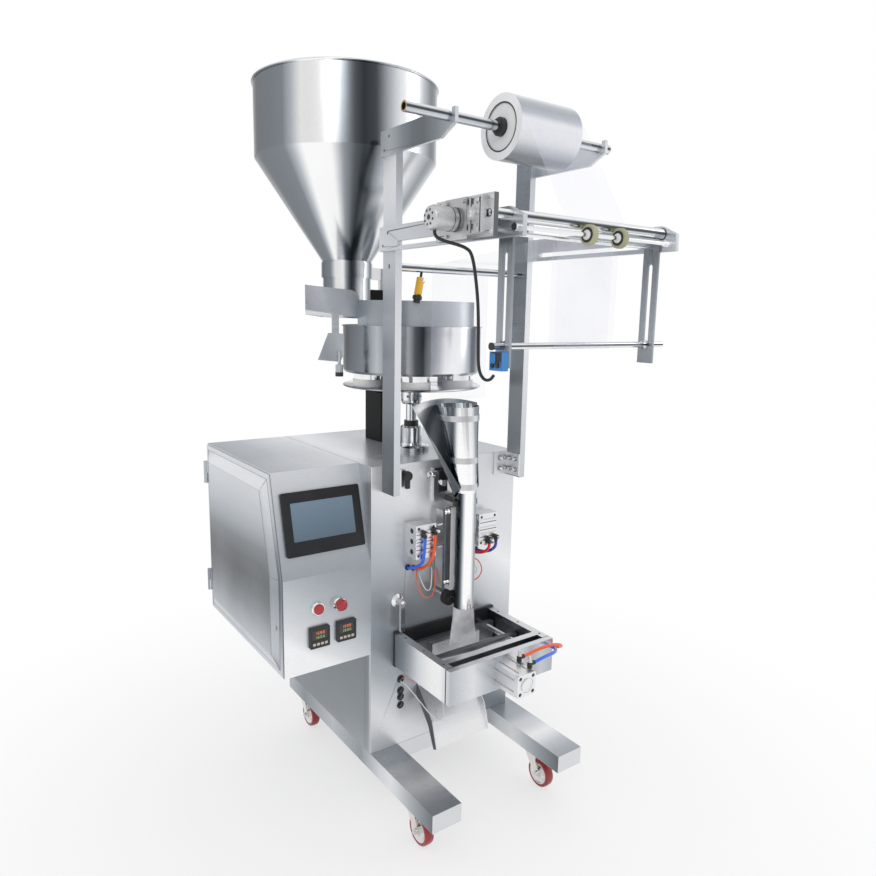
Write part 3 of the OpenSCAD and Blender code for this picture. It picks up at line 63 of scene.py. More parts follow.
# All places below are in millimetres of the machine's own axes: X from the cabinet's left face,
# Y from its front and Z from the ground. V() turns them into the frame's metres.
OX, OY = -121.35, -13.252


def V(x, y, z):
    return Vector(((x + OX) / 1000, (y + OY) / 1000, z / 1000))


# Axes that several pieces share
HOPPER = 77, 260  # X, Y
PAN = 207, 148  # X, Y
MID = 222  # X of the forming tube, the bag and the jaws
TUBE_Y = -78
REEL = -252, 1610  # Y, Z
DRIVE = -440, 1410  # Y, Z
COLLAR = -461.5, 1388.5  # Y, Z
DANCER = -420, 1184  # Y, Z
GUIDE = -26, 1342  # Y, Z
MOTOR = -368, 1403  # Y, Z
JAW_CYLINDER_Z = 416
SCREEN_FOOT, TILT_COS, TILT_SIN = 650, 0.9689, 0.2474  # the sloping panel's foot and tilt


def off(u, v, axis):
    """Distance from an axis."""
    return hypot(u - axis[0], v - axis[1])


# ---------------------------------------------------------------- camera
AZ, EL, ROLL = radians(35.473), radians(9.753), radians(-1.054)
LENS_MM = 29.31
CAMERA_AT = V(-818.4, -1414.5, 1237.0)
fwd = Vector((sin(AZ) * cos(EL), cos(AZ) * cos(EL), -sin(EL)))
right = Vector((cos(AZ), -sin(AZ), 0))
down = fwd.cross(right)
r2 = cos(ROLL) * right + sin(ROLL) * down
d2 = -sin(ROLL) * right + cos(ROLL) * down
cam = bpy.data.objects.new("camera", bpy.data.cameras.new("camera"))
bpy.context.scene.collection.objects.link(cam)
cam.data.sensor_width = 36
cam.data.lens = LENS_MM
cam.data.clip_end = 50
cam.matrix_world = Matrix([(r2[k], -d2[k], -fwd[k], CAMERA_AT[k]) for k in range(3)]
                          + [(0, 0, 0, 1)])
bpy.context.scene.camera = cam
bpy.context.scene.view_settings.view_transform = "Standard"


# ---------------------------------------------------------------- materials
def new_mat(name):
    """A material, its tree, its shader and the place that textures are laid on."""
    m = bpy.data.materials.new(name)
    m.use_nodes = True
    t = m.node_tree
    return m, t, t.nodes["Principled BSDF"], node(t, "TexCoord", {}, "Object")


def give(t, to, inputs):
    """Fills a node's inputs: an output is linked to one, and anything else is its constant."""
    for k, v in inputs.items():
        if isinstance(v, bpy.types.NodeSocket):
            t.links.new(v, to.inputs[k])
        else:
            to.inputs[k].default_value = v


def node(t, kind, inputs, out=0, **settings):
    """Makes a node and returns one of its outputs."""
    x = t.nodes.new("ShaderNode" + kind)
    for k, v in settings.items():
        setattr(x, k, v)
    give(t, x, inputs)
    return x.outputs[out]


def noise(t, at, scale, detail=2):
    return node(t, "TexNoise", {"Vector": at, "Scale": scale, "Detail": detail})


def streaks(t, at, grain, scale):
    return noise(t, node(t, "Mapping", {"Vector": at, "Scale": grain}), scale, 3)


def remap(t, value, low, high, to_low=0, to_high=1, **settings):
    return node(t, "MapRange", {"Value": value, "From Min": low, "From Max": high,
                                "To Min": to_low, "To Max": to_high}, **settings)


def multiply_add(t, a, factor, c):
    return node(t, "Math", {0: a, 1: factor, 2: c}, operation="MULTIPLY_ADD")


def larger(t, a, b):
    return node(t, "Math", {0: a, 1: b}, operation="MAXIMUM")


def bump(t, height, strength, distance=0.0004):
    return node(t, "Bump", {"Height": height, "Strength": strength, "Distance": distance})


def ramp(t, value, stops, ease="LINEAR"):
    """A colour ramp of (place, colour) pairs."""
    x = t.nodes.new("ShaderNodeValToRGB")
    x.color_ramp.interpolation = ease
    e = x.color_ramp.elements
    e[0].position, e[1].position = stops[0][0], stops[-1][0]
    e[0].color, e[1].color = stops[0][1], stops[-1][1]
    for q, c in stops[1:-1]:
        e.new(q).color = c
    give(t, x, {0: value})
    return x.outputs[0]


def tint(col, factor, plus=0.0):
    return [min(1, max(0, c * factor + plus)) for c in col] + [1]


def place_round(angle):
    """Place of an angle in degrees on a ramp that runs from -180 to 180."""
    return ((angle + 180) % 360) / 360


def metal(name, col, rough, grain, scale, bumps, var, metallic=1.0, aniso=0.0):
    """Metal with directional grain, blotchy roughness and faint handling marks."""
    m, t, b, at = new_mat(name)
    fine = streaks(t, at, grain, scale)
    mix = multiply_add(t, fine, 0.6, noise(t, at, 7, 4))
    give(t, b, {
        "Base Color": ramp(t, mix, [(0.45, tint(col, 1 - var)), (1, tint(col, 1 + var * 0.6))]),
        "Roughness": remap(t, mix, 0.4, 1.1, max(0.02, rough - 0.08), rough + 0.08),
        "Normal": bump(t, fine, bumps), "Metallic": metallic, "Anisotropic": aniso})
    return m


def cool(c):
    """The darker the painted tone, the bluer the steel."""
    return c * (0.87 + 0.13 * c), c, min(1, c * (1.13 - 0.12 * c)), 1


def painted_light_bands(name, how, stops, rough, scale, grain, wave, bumps, aniso=0.3, metallic=1.0):
    """Bright sheet with painted reflections and painted shade: its colour runs in soft light and
    dark bands.

    how is ("lin", direction), with stops in mm along it, or ("ang" or "rol", a point), with
    stops in degrees round the Z or X axis through it.
    """
    m, t, b, at = new_mat(name)
    if how[0] == "lin":
        d, low, high = how[1], stops[0][0], stops[-1][0]
        shift = d[0] * OX + d[1] * OY
        dot = node(t, "VectorMath", {0: at, 1: d}, "Value", operation="DOT_PRODUCT")
        along = remap(t, dot, (low + shift) / 1000, (high + shift) / 1000)
        pts = [((q - low) / (high - low), c) for q, c in stops]
        first, last = pts[0][1], pts[-1][1]
    else:
        away = node(t, "VectorMath", {0: at, 1: V(*how[1:])}, operation="SUBTRACT")
        xyz = node(t, "SeparateXYZ", {0: away}).node.outputs
        u, v = ("X", "Y") if how[0] == "ang" else ("Y", "Z")
        along = remap(t, node(t, "Math", {0: xyz[v], 1: xyz[u]}, operation="ARCTAN2"), -pi, pi)
        pts = sorted((place_round(q), c) for q, c in stops)
        first = last = (pts[0][1] + pts[-1][1]) / 2
    big = noise(t, at, 6, 3)
    inside = [(q, cool(c)) for q, c in pts if 0.002 < q < 0.998]
    # the ramp paints the light and dark bands of reflection and shade into the base colour
    tones = ramp(t, multiply_add(t, big, wave, along),
                 [(0, cool(first))] + inside + [(1, cool(last))])
    fine = streaks(t, at, grain, scale)
    base = node(t, "VectorMath", {0: tones, "Scale": remap(t, fine, 0.3, 0.7, 0.92, 1.03)},
                operation="SCALE")
    give(t, b, {
        "Base Color": base,
        "Roughness": remap(t, big, 0.3, 0.7, max(0.03, rough - 0.05), rough + 0.06),
        "Normal": bump(t, fine, bumps), "Metallic": metallic, "Anisotropic": aniso})
    return m


def solid(name, col, rough, scale, bumps, coat=0.0, var=0.12, spec=0.5):
    """Plastic, rubber or paint with a moulded texture and slight wear."""
    m, t, b, at = new_mat(name)
    worn = noise(t, at, 22, 5)
    give(t, b, {
        "Base Color": ramp(t, worn, [(0.35, tint(col, 1 - var)), (0.7, tint(col, 1 + var, 0.004))]),
        "Roughness": remap(t, worn, 0, 1, max(0.05, rough - 0.1), rough + 0.12),
        "Normal": bump(t, noise(t, at, scale), bumps, 0.0005), "Specular IOR Level": spec})
    if coat:
        give(t, b, {"Coat Weight": coat, "Coat Roughness": 0.08})
    return m


def glow(name, col, strength):
    """Lit segments of a display."""
    m, t, b, at = new_mat(name)
    lit = ramp(t, noise(t, at, 900), [(0, tint(col, 0.75)), (1, tint(col, 1))])
    give(t, b, {"Base Color": lit, "Emission Color": lit, "Emission Strength": strength})
    return m


def glassy(name, col, alpha, rough, ripple, bumps):
    """Thin clear film: mostly see-through, with its own sheen, ripples and a pale tint."""
    m, t, b, at = new_mat(name)
    w = noise(t, at, ripple)
    give(t, b, {
        "Base Color": ramp(t, w, [(0.35, tint(col, 0.97)), (0.7, tint(col, 1))]),
        "Alpha": remap(t, w, 0.3, 0.7, alpha * 0.6, min(1, alpha * 1.4)),
        "Normal": bump(t, w, bumps, 0.002), "Roughness": rough})
    return m


def screen_mat():
    """Dark glass of the touch screen, with a painted reflection that makes it paler towards its
    top.
    """
    m, t, b, at = new_mat("screen_glass")
    up = remap(t, node(t, "SeparateXYZ", {0: at}, "Z"), 0.72, 0.86)
    painted_sheen = multiply_add(t, noise(t, at, 5), 0.25, up)
    tones = ramp(t, painted_sheen, [(0, (0.085, 0.125, 0.165, 1)), (1, (0.2, 0.29, 0.38, 1))])
    give(t, b, {"Base Color": tones, "Roughness": 0.16})
    return m


M = {}
# Name, colour, roughness, scale of the texture along X, Y, Z and in all, bump, variation and,
# where they aren't 1 and 0, metallic and anisotropic
METALS = {
    "sheet": ("brushed_sheet", (0.8, 0.81, 0.83), 0.3, (1, 1, 0.06), 1500, 0.05, 0.04, 1.0, 0.3),
    # Plain white, hardly metal: a painted highlight for the seal bars' front faces
    "bright": ("milled_bright", (1.0, 1.0, 1.0), 0.45, (1, 1, 0.08), 1300, 0.05, 0.03, 0.1),
    "plate": ("satin_plate", (0.74, 0.75, 0.77), 0.33, (1, 1, 1), 1300, 0.06, 0.05),
    "polish": ("polished_rod", (0.88, 0.89, 0.9), 0.1, (0.05, 1, 1), 1500, 0.02, 0.02),
    "tool": ("ground_steel", (0.6, 0.61, 0.63), 0.3, (0.1, 1, 1), 1400, 0.08, 0.1),
    "darkplate": ("dark_plate", (0.16, 0.165, 0.175), 0.42, (1, 1, 1), 900, 0.1, 0.12, 0.85),
    "zinc": ("zinc_plate", (0.78, 0.77, 0.74), 0.27, (1, 1, 1), 300, 0.08, 0.1),
    "bolt": ("bolt_steel", (0.78, 0.79, 0.81), 0.2, (1, 1, 1), 2000, 0.05, 0.1),
    "barrel": ("barrel_aluminium", (0.86, 0.86, 0.87), 0.36, (1, 0.1, 1), 1200, 0.08, 0.04),
    "cast": ("cast_aluminium", (0.62, 0.625, 0.63), 0.36, (1, 1, 1), 520, 0.8, 0.45, 0.85),
    "alu": ("extruded_aluminium", (0.8, 0.8, 0.81), 0.33, (0.1, 1, 1), 1200, 0.08, 0.05),
    "brass": ("tube_end_brass", (0.46, 0.34, 0.2), 0.34, (0.1, 1, 1), 1200, 0.08, 0.15),
    # Darker steel for the jaw box's inner walls: painted shade
    "inner": ("jaw_box_inside", (0.24, 0.25, 0.27), 0.3, (1, 1, 1), 1300, 0.06, 0.08),
}
for key, row in METALS.items():
    M[key] = metal(*row)

# Painted reflection bands round the hopper: angle in degrees and brightness
HOPPER_REFLECTIONS = [
    (0, 0.25), (20, 0.6), (45, 0.95), (62, 0.45), (85, 0.12), (105, 0.3), (130, 0.8), (150, 0.6),
    (160, 0.55), (167, 0.32), (174, 0.12), (187, 0.2), (204, 0.25), (210, 0.5), (217, 1.0),
    (234, 1.0), (241, 0.34), (248, 0.11), (253, 0.06), (260, 0.13), (267, 0.5), (276, 0.85),
    (288, 0.95), (296, 0.6), (306, 0.3), (313, 0.33), (320, 0.62), (330, 0.9), (345, 0.5)]
TUBE_REFLECTIONS = [
    (0, 0.25), (30, 0.8), (60, 0.3), (90, 0.1), (120, 0.5), (140, 0.08), (200, 0.05), (208, 0.1),
    (215, 0.3), (223, 0.68), (231, 1.0), (268, 1.0), (282, 0.68), (290, 0.38), (305, 0.25),
    (330, 0.5)]
ROD_REFLECTIONS = [
    (0, 0.6), (30, 0.95), (60, 0.5), (90, 0.3), (115, 0.9), (135, 1.0), (155, 0.9), (172, 0.12),
    (188, 0.08), (205, 0.75), (225, 0.95), (250, 0.45), (275, 0.12), (310, 0.3), (340, 0.5)]
# Painted reflections of round parts, in bands by angle round an axis. Name, axis, roughness,
# texture's scales, wave, bump and the stops
ROUND_REFLECTIONS = {
    "hopper": ("spun_steel", ("ang", *HOPPER, 0), 0.2, 1600, (1, 1, 0.05), 0.006, 0.04, HOPPER_REFLECTIONS),
    # Inside of the hopper: the same painted reflections turned half round and paler
    "hopper_in": ("spun_steel_inside", ("ang", *HOPPER, 0), 0.26, 1600, (1, 1, 0.05), 0.006, 0.04,
        [(q + 180, min(1, 0.2 + c * 0.6)) for q, c in HOPPER_REFLECTIONS]),
    "pan": ("pan_steel", ("ang", *PAN, 0), 0.18, 1600, (1, 1, 0.05), 0.006, 0.04, [
        (0, 0.3), (30, 0.9), (60, 0.4), (90, 0.1), (115, 0.5), (135, 0.9), (150, 0.3), (160, 0.05),
        (172, 0.07), (180, 0.25), (200, 0.27), (210, 0.58), (222, 0.22), (229, 0.78), (240, 0.1),
        (246, 0.05), (255, 0.5), (264, 1.0), (278, 1.0), (288, 0.5), (300, 0.2), (310, 0.75),
        (325, 0.85), (342, 0.5)]),
    "tube": ("former_steel", ("ang", MID, TUBE_Y, 0), 0.12, 1500, (1, 1, 0.06), 0.006, 0.02, TUBE_REFLECTIONS),
    "funnel": ("funnel_steel", ("ang", MID, -57, 0), 0.12, 1500, (1, 1, 0.06), 0.006, 0.02, [
        (0, 0.25), (30, 0.8), (60, 0.3), (90, 0.1), (120, 0.5), (140, 0.2), (170, 0.5),
        (185, 0.32), (193, 0.12), (200, 0.1), (207, 0.35), (214, 0.8), (221, 1.0), (268, 1.0),
        (282, 0.68), (290, 0.38), (305, 0.25), (330, 0.5)]),
    "shaft": ("shaft_chrome", ("ang", *PAN, 0), 0.14, 1500, (1, 1, 0.05), 0.008, 0.03, [
        (0, 0.3), (40, 0.9), (80, 0.2), (120, 0.8), (150, 0.5), (168, 0.12), (185, 0.6),
        (200, 0.95), (214, 0.8), (226, 0.25), (240, 0.9), (254, 1.0), (268, 0.5), (282, 0.12),
        (300, 0.5), (320, 0.9), (340, 0.6)]),
    "bar_y": ("guide_chrome", ("rol", 0, *GUIDE), 0.1, 1500, (0.05, 1, 1), 0.004, 0.02, ROD_REFLECTIONS),
    "bar_d": ("drive_chrome", ("rol", 0, *DRIVE), 0.12, 1500, (0.05, 1, 1), 0.004, 0.02, ROD_REFLECTIONS),
    "bar_p": ("dancer_chrome", ("rol", 0, *DANCER), 0.12, 1500, (0.05, 1, 1), 0.004, 0.02, ROD_REFLECTIONS),
    "bar_r": ("reel_chrome", ("rol", 0, *REEL), 0.14, 1500, (0.05, 1, 1), 0.004, 0.02,
        [(q, c * 0.85) for q, c in ROD_REFLECTIONS]),
}
for key, (name, axis, *finish, stops) in ROUND_REFLECTIONS.items():
    M[key] = painted_light_bands(name, axis, stops, *finish)

# Painted light and shade of flat sheets, in bands along a direction. Name, direction, roughness,
# texture's scales, wave, metallic and the stops in mm
FLAT_LIGHT_AND_SHADE = {
    "door_side": ("side_sheet", (0, 0.04, 1), 0.3, 1500, (1, 1, 0.05), 0.05, 0.62, [
        (418, 0.72), (470, 0.56), (510, 0.41), (550, 0.25), (590, 0.15), (635, 0.09), (675, 0.12),
        (715, 0.21), (755, 0.4), (795, 0.54), (840, 0.64), (890, 0.7)]),
    "box_front": ("box_front_sheet", (0.7, 0, 1), 0.32, 1500, (0.05, 1, 1), 0.03, 0.62, [
        (270, 1.0), (350, 0.98), (380, 0.82), (410, 0.73), (470, 0.6), (500, 0.53), (560, 0.43),
        (640, 0.37)]),
    "slope": ("slope_sheet", (0, 0, 1), 0.32, 1500, (0.05, 1, 1), 0.03, 0.62, [
        (650, 0.38), (745, 0.52), (805, 0.65), (865, 0.76), (885, 0.8)]),
    "front": ("front_sheet", (0.7, 0, 1), 0.33, 1500, (0.05, 1, 1), 0.02, 0.62, [
        (150, 0.95), (190, 0.93), (235, 0.92), (285, 0.86), (335, 0.68), (385, 0.48), (450, 0.37),
        (535, 0.41), (600, 0.45), (650, 0.5), (700, 0.56), (750, 0.63), (830, 0.8), (885, 0.94),
        (960, 0.82), (1170, 0.78)]),
    "top": ("top_sheet", (1, 0, 0), 0.3, 1500, (0.05, 1, 1), 0.02, 0.62, [
        (-240, 0.4), (-140, 0.53), (-80, 0.66), (-20, 0.78), (40, 0.95), (100, 0.8), (160, 0.62),
        (260, 0.5), (340, 0.7), (445, 0.6)]),
    # Masts: darker copies for their sides and a lighter one for their fronts, all painted shade and
    # light
    "mast_side": ("mast_side", (0, 0, 1), 0.3, 1300, (1, 1, 0.1), 0.02, 0.62, [
        (820, 0.16), (960, 0.2), (1100, 0.28), (1220, 0.4), (1330, 0.55), (1440, 0.72),
        (1630, 0.92)]),
    "mast_r": ("mast_right", (0, 0, 1), 0.3, 1300, (1, 1, 0.1), 0.02, 0.5, [
        (820, 0.42), (1000, 0.4), (1200, 0.32), (1400, 0.3), (1500, 0.33), (1630, 0.28)]),
    "under": ("left_sheet", (0, 0.3, 1), 0.32, 1500, (1, 1, 0.05), 0.02, 0.6, [
        (150, 0.42), (250, 0.3), (330, 0.27), (420, 0.25), (600, 0.4), (1050, 0.6)]),
    "arm_side": ("arm_side", (0, -0.6, 1), 0.3, 1300, (1, 0.1, 1), 0.02, 0.6, [
        (1350, 0.8), (1420, 0.7), (1480, 0.66), (1560, 0.55), (1620, 0.52), (1680, 0.66),
        (1740, 0.8), (1800, 0.7)]),
    "trough": ("trough_sheet", (1, 0, 0.4), 0.28, 1500, (0.05, 0.05, 1), 0.02, 0.6, [
        (340, 0.4), (410, 0.46), (455, 0.66), (520, 0.44), (560, 0.36), (620, 0.44), (690, 0.6),
        (740, 0.66), (800, 0.52), (880, 0.4)]),
    "mast_front": ("mast_front", (0, 0, 1), 0.3, 1300, (1, 1, 0.1), 0.02, 0.62, [
        (820, 0.62), (950, 0.7), (1080, 0.78), (1200, 0.86), (1380, 0.8), (1500, 0.66),
        (1630, 0.58)]),
    "rail_side": ("rail_side", (0, 1, 0), 0.3, 1500, (1, 0.05, 1), 0.03, 0.62, [
        (-272, 0.14), (-232, 0.26), (-202, 0.36), (-172, 0.48), (-142, 0.62), (-112, 0.78),
        (-82, 0.9), (-40, 0.8), (60, 0.35), (220, 0.6), (400, 0.3), (500, 0.5)]),
    "rail_top": ("rail_top", (0, 1, 0), 0.28, 1500, (1, 0.05, 1), 0.03, 0.62, [
        (-272, 0.4), (-232, 0.5), (-202, 0.64), (-172, 0.88), (-150, 0.98), (-112, 0.76),
        (-82, 0.7), (-52, 0.5), (0, 0.42), (200, 0.7), (500, 0.5)]),
    "jaw_front": ("jaw_plate", (1, 0, 0), 0.26, 1300, (0.05, 1, 1), 0.02, 0.62, [
        (60, 0.5), (105, 0.7), (135, 0.82), (165, 0.65), (197, 0.51), (225, 0.55), (262, 0.78),
        (310, 0.45), (345, 0.65), (385, 0.5)]),
    "jaw_side": ("jaw_side", (0, 1, 0), 0.26, 1300, (1, 0.05, 1), 0.02, 0.62, [
        (-240, 0.6), (-222, 0.75), (-198, 1.0), (-165, 1.0), (-135, 0.9), (-105, 0.78), (-75, 0.6),
        (-45, 0.42), (0, 0.26)]),
    "back": ("back_sheet", (0.5, 0, 1), 0.33, 1500, (1, 1, 0.05), 0.03, 0.62, [
        (-100, 0.55), (120, 0.5), (300, 0.36), (450, 0.33), (600, 0.44), (760, 0.58), (900, 0.62),
        (1150, 0.5)]),
    # Side door's bevels: a lighter copy of the side sheet, painted light
    "door_rim": ("door_rim", (0, 0.04, 1), 0.3, 1500, (1, 1, 0.05), 0.05, 0.62, [
        (418, 0.8), (470, 0.62), (550, 0.48), (635, 0.34), (715, 0.42), (795, 0.66), (890, 0.84)]),
    "reel_arm": ("reel_arm", (0, -1, 0), 0.3, 1300, (1, 0.1, 1), 0.02, 0.6, [
        (0, 0.62), (40, 0.55), (90, 0.28), (130, 0.17), (170, 0.16), (215, 0.26), (260, 0.45),
        (300, 0.6)]),
    "hang": ("hanging_bar", (0, 0, 1), 0.3, 1300, (1, 1, 0.1), 0.02, 0.6, [
        (1140, 0.32), (1200, 0.42), (1280, 0.36), (1350, 0.28), (1400, 0.24)]),
    "chute": ("chute_sheet", (0, 0, 1), 0.3, 1500, (0.05, 1, 1), 0.03, 0.6, [
        (155, 1.0), (190, 1.0), (219, 0.84), (256, 0.74), (300, 0.6)]),
}
for key, (name, d, *finish, metallic, stops) in FLAT_LIGHT_AND_SHADE.items():
    M[key] = painted_light_bands(name, ("lin", d), stops, *finish, 0.05, metallic=metallic)

# Painted reflections on the forming collar and painted shade on the white film roll. These two end
# with roughness, texture's scales, wave, bump, anisotropic and metallic
M["wing"] = painted_light_bands("collar_steel", ("lin", (-1.2, 0, 1)), [
    (560, 0.12), (640, 0.14), (700, 0.26), (730, 0.5), (755, 0.5), (775, 0.24), (792, 0.2),
    (812, 0.45), (830, 0.85), (845, 1.0), (900, 0.9)],
    0.24, 1500, (1, 1, 0.06), 0.03, 0.02, 0.3, 0.55)
M["roll"] = painted_light_bands("film_roll", ("rol", 0, *REEL), [
    (0, 0.5), (30, 0.85), (60, 0.7), (88, 0.62), (110, 0.85), (124, 0.8), (138, 0.52), (152, 0.42),
    (165, 0.55), (176, 0.96), (205, 0.97), (216, 0.86), (228, 0.6), (242, 0.3), (256, 0.24),
    (275, 0.3), (310, 0.6), (340, 0.7)],
    0.24, 700, (0.25, 1, 1), 0.01, 0.05, 0, 0.0)

# Name, colour, roughness, texture's scale, bump and, where they differ, coat, variation and
# specular level
SOLIDS = {
    "black": ("black_plastic", (0.018, 0.018, 0.02), 0.42, 1500, 0.1),
    "gloss_black": ("gloss_black", (0.02, 0.021, 0.024), 0.22, 900, 0.02, 0.4),
    "bezel": ("screen_bezel", (0.015, 0.016, 0.019), 0.36, 1600, 0.1, 0.0, 0.12, 0.3),
    "paint": ("black_paint", (0.006, 0.006, 0.007), 0.55, 700, 0.1, 0.0, 0.12, 0.18),
    "rubber": ("black_rubber", (0.02, 0.02, 0.02), 0.7, 900, 0.3),
    "tyre": ("red_tyre", (0.36, 0.022, 0.028), 0.36, 700, 0.06, 0.25),
    "red": ("red_button", (0.42, 0.008, 0.012), 0.28, 700, 0.03, 0.5),
    "olive": ("olive_rubber", (0.42, 0.42, 0.26), 0.62, 900, 0.25),
    "white": ("white_plastic", (0.8, 0.8, 0.8), 0.42, 900, 0.04, 0.0, 0.04),
    "blue_box": ("sensor_blue", (0.03, 0.22, 0.58), 0.34, 900, 0.05, 0.2),
    "orange": ("sensor_orange", (0.95, 0.5, 0.012), 0.32, 900, 0.04, 0.3),
    "hose_b": ("hose_blue", (0.01, 0.14, 0.8), 0.26, 900, 0.02, 0.5, 0.1),
    "hose_n": ("hose_navy", (0.01, 0.05, 0.42), 0.26, 900, 0.02, 0.5, 0.1),
    "hose_o": ("hose_orange", (1.0, 0.11, 0.005), 0.26, 900, 0.02, 0.5, 0.1),
    "hose_r": ("hose_red", (0.9, 0.014, 0.012), 0.26, 900, 0.02, 0.5, 0.1),
    "wire_o": ("sleeve_orange", (0.86, 0.16, 0.05), 0.5, 900, 0.1, 0.0, 0.1),
    "wire_p": ("sleeve_pale", (0.8, 0.34, 0.28), 0.5, 900, 0.1, 0.0, 0.1),
    "wire_w": ("sleeve_white", (0.84, 0.82, 0.8), 0.5, 900, 0.1, 0.0, 0.04),
    "cable": ("cable_black", (0.015, 0.015, 0.016), 0.5, 900, 0.1),
    "key": ("key_caps", (0.55, 0.5, 0.38), 0.5, 900, 0.05),
    "roll_end": ("film_roll_end", (0.88, 0.88, 0.89), 0.4, 900, 0.06, 0.0, 0.04),
}
for key, row in SOLIDS.items():
    M[key] = solid(*row)
M["digit_r"] = glow("digit_red", (0.9, 0.24, 0.1), 0.5)
M["digit_g"] = glow("digit_green", (0.42, 0.62, 0.24), 0.35)
M["film"] = glassy("clear_film", (0.84, 0.85, 1.0), 0.15, 0.05, 9, 0.2)
M["bag"] = glassy("bag_film", (0.97, 0.97, 1.0), 0.52, 0.14, 16, 0.5)
M["screen"] = screen_mat()


# ---------------------------------------------------------------- piece makers
def link(o, body):
    bpy.context.scene.collection.objects.link(o)
    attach(o, body)
    return o


def add(name, verts, faces, mats, body, slot="stainless_sheet", idx=None, angle=32, smooth=True):
    me = bpy.data.meshes.new(name)
    me.from_pydata([V(*v) for v in verts], [], faces)
    for x in mats if isinstance(mats, list) else [mats]:
        me.materials.append(x)
    if idx:
        for p, i in zip(me.polygons, idx):
            p.material_index = i
    me.validate(); me.update()
    if smooth:
        me.polygons.foreach_set("use_smooth", [True] * len(me.polygons))
        me.set_sharp_from_angle(angle=radians(angle))
    return link(bpy.data.objects.new(name, me), body)


AX = {"X": ((1, 0, 0), (0, 1, 0), (0, 0, 1)), "-X": ((-1, 0, 0), (0, 0, 1), (0, 1, 0)),
      "-Y": ((0, -1, 0), (1, 0, 0), (0, 0, 1)), "Z": ((0, 0, 1), (1, 0, 0), (0, 1, 0))}


def axes(d):
    """A direction, named or as a vector, and two that are square to it."""
    if isinstance(d, str):
        return [Vector(a) for a in AX[d]]
    d = Vector(d).normalized()
    u = d.orthogonal().normalized()
    return [d, u, d.cross(u)]


def side(s):
    return "X" if s > 0 else "-X"


def rev_data(prof, at, d, seg, rf=None):
    """Rings round an axis: prof is (radius, height) pairs; rf(angle, ring) scales the radius."""
    a, u, v = axes(d)
    at = Vector(at)
    vs, fs, rings = [], [], []
    for j, (r, h) in enumerate(prof):
        if r < 1e-6:
            rings.append([len(vs)]); vs.append(tuple(at + a * h))
        else:
            ring = []
            for k in range(seg):
                t = 2 * pi * k / seg
                q = r * (rf(t, j) if rf else 1)
                ring.append(len(vs)); vs.append(tuple(at + a * h + u * q * cos(t) + v * q * sin(t)))
            rings.append(ring)
    for p, q in zip(rings, rings[1:]):
        for k in range(seg):
            k2 = (k + 1) % seg
            if len(p) == 1:
                fs.append((p[0], q[k2], q[k]))
            elif len(q) == 1:
                fs.append((p[k], p[k2], q[0]))
            else:
                fs.append((p[k], p[k2], q[k2], q[k]))
    return vs, fs


def hexagon(low, high):
    """Scales the rings from low to high from a circle to a hexagon."""
    return lambda t, j: 1 / cos((t % (pi / 3)) - pi / 6) if low <= j <= high else 1


class Bag:
    """Collects many small shapes into one mesh."""
    def __init__(self):
        self.v, self.f, self.i = [], [], []

    def put(self, vs, fs, i=0):
        n = len(self.v)
        self.v += list(vs); self.f += [tuple(x + n for x in f) for f in fs]
        self.i += [i] * len(fs)

    def box(self, lo, hi, i=0):
        (a, b, c), (d, e, g) = lo, hi
        self.put([(x, y, z) for z in (c, g) for x, y in ((a, b), (d, b), (d, e), (a, e))],
                 [(0, 3, 2, 1), (4, 5, 6, 7), (0, 1, 5, 4), (1, 2, 6, 5), (2, 3, 7, 6),
                  (3, 0, 4, 7)], i)

    def rev(self, prof, at, d, seg=24, rf=None):
        self.put(*rev_data(prof, at, d, seg, rf))

    def ring(self, outer, inner, at, d, height=0.5, base=-0.2, seg=24):
        """A flat washer, open underneath."""
        self.rev([(outer, base), (outer, height), (inner, height)], at, d, seg)

    def disc(self, r, height, at, d, seg):
        self.rev([(r, 0), (r, height), (0, height)], at, d, seg)

    def socket(self, at, d, r, h):
        """Round head with a hexagon socket."""
        self.rev([(r, -0.3), (r, h * 0.82), (r * 0.88, h), (r * 0.62, h), (r * 0.44, h - 0.1),
                  (r * 0.44, h * 0.35), (0, h * 0.35)], at, d, 24, hexagon(4, 5))

    def hexbolt(self, at, d, r, h, stud=0):
        """Washer, hexagon head and an optional stud end."""
        prof = [(r * 1.35, -0.2), (r * 1.35, 1), (r * 1.02, 1.02), (r * 0.86, 1.04),
                (r * 0.86, h * 0.85), (r * 0.78, h)]
        prof += [(r * 0.45, h + 0.02), (r * 0.45, h + stud), (0, h + stud)] if stud else [(0, h)]
        self.rev(prof, at, d, 24, hexagon(3, 4))

    def make(self, name, mats, body, slot="polished_steel", **k):
        return add(name, self.v, self.f, mats, body, slot, idx=self.i, **k)


def paint(name, mats, test=None, soft=0, seg=2):
    """Gives a CAD node finer materials and, if soft, edges rounded by that many mm.

    test(x, y, z of a face, its normal) picks a material by number.
    """
    me = N[name].data
    me.materials.clear()
    for m in mats if isinstance(mats, list) else [mats]:
        me.materials.append(m)
    for p in me.polygons:
        c = p.center * 1000
        p.material_index = test(c.x - OX, c.y - OY, c.z, p.normal) if test else 0
    if soft:
        soften(N[name], soft, seg)


def soften(o, w, seg):
    """Small rounded edges on a CAD node, by modifiers alone."""
    me = o.data
    if "custom_normal" in me.attributes:
        me.attributes.remove(me.attributes["custom_normal"])
    a = o.modifiers.new("weld", "WELD"); a.merge_threshold = 2e-6
    b = o.modifiers.new("edge", "BEVEL")
    b.width = w / 1000; b.segments = seg; b.limit_method = "ANGLE"
    b.angle_limit = radians(40); b.harden_normals = False
    me.polygons.foreach_set("use_smooth", [True] * len(me.polygons))
    c = o.modifiers.new("even", "WEIGHTED_NORMAL"); c.keep_sharp = False; c.weight = 90


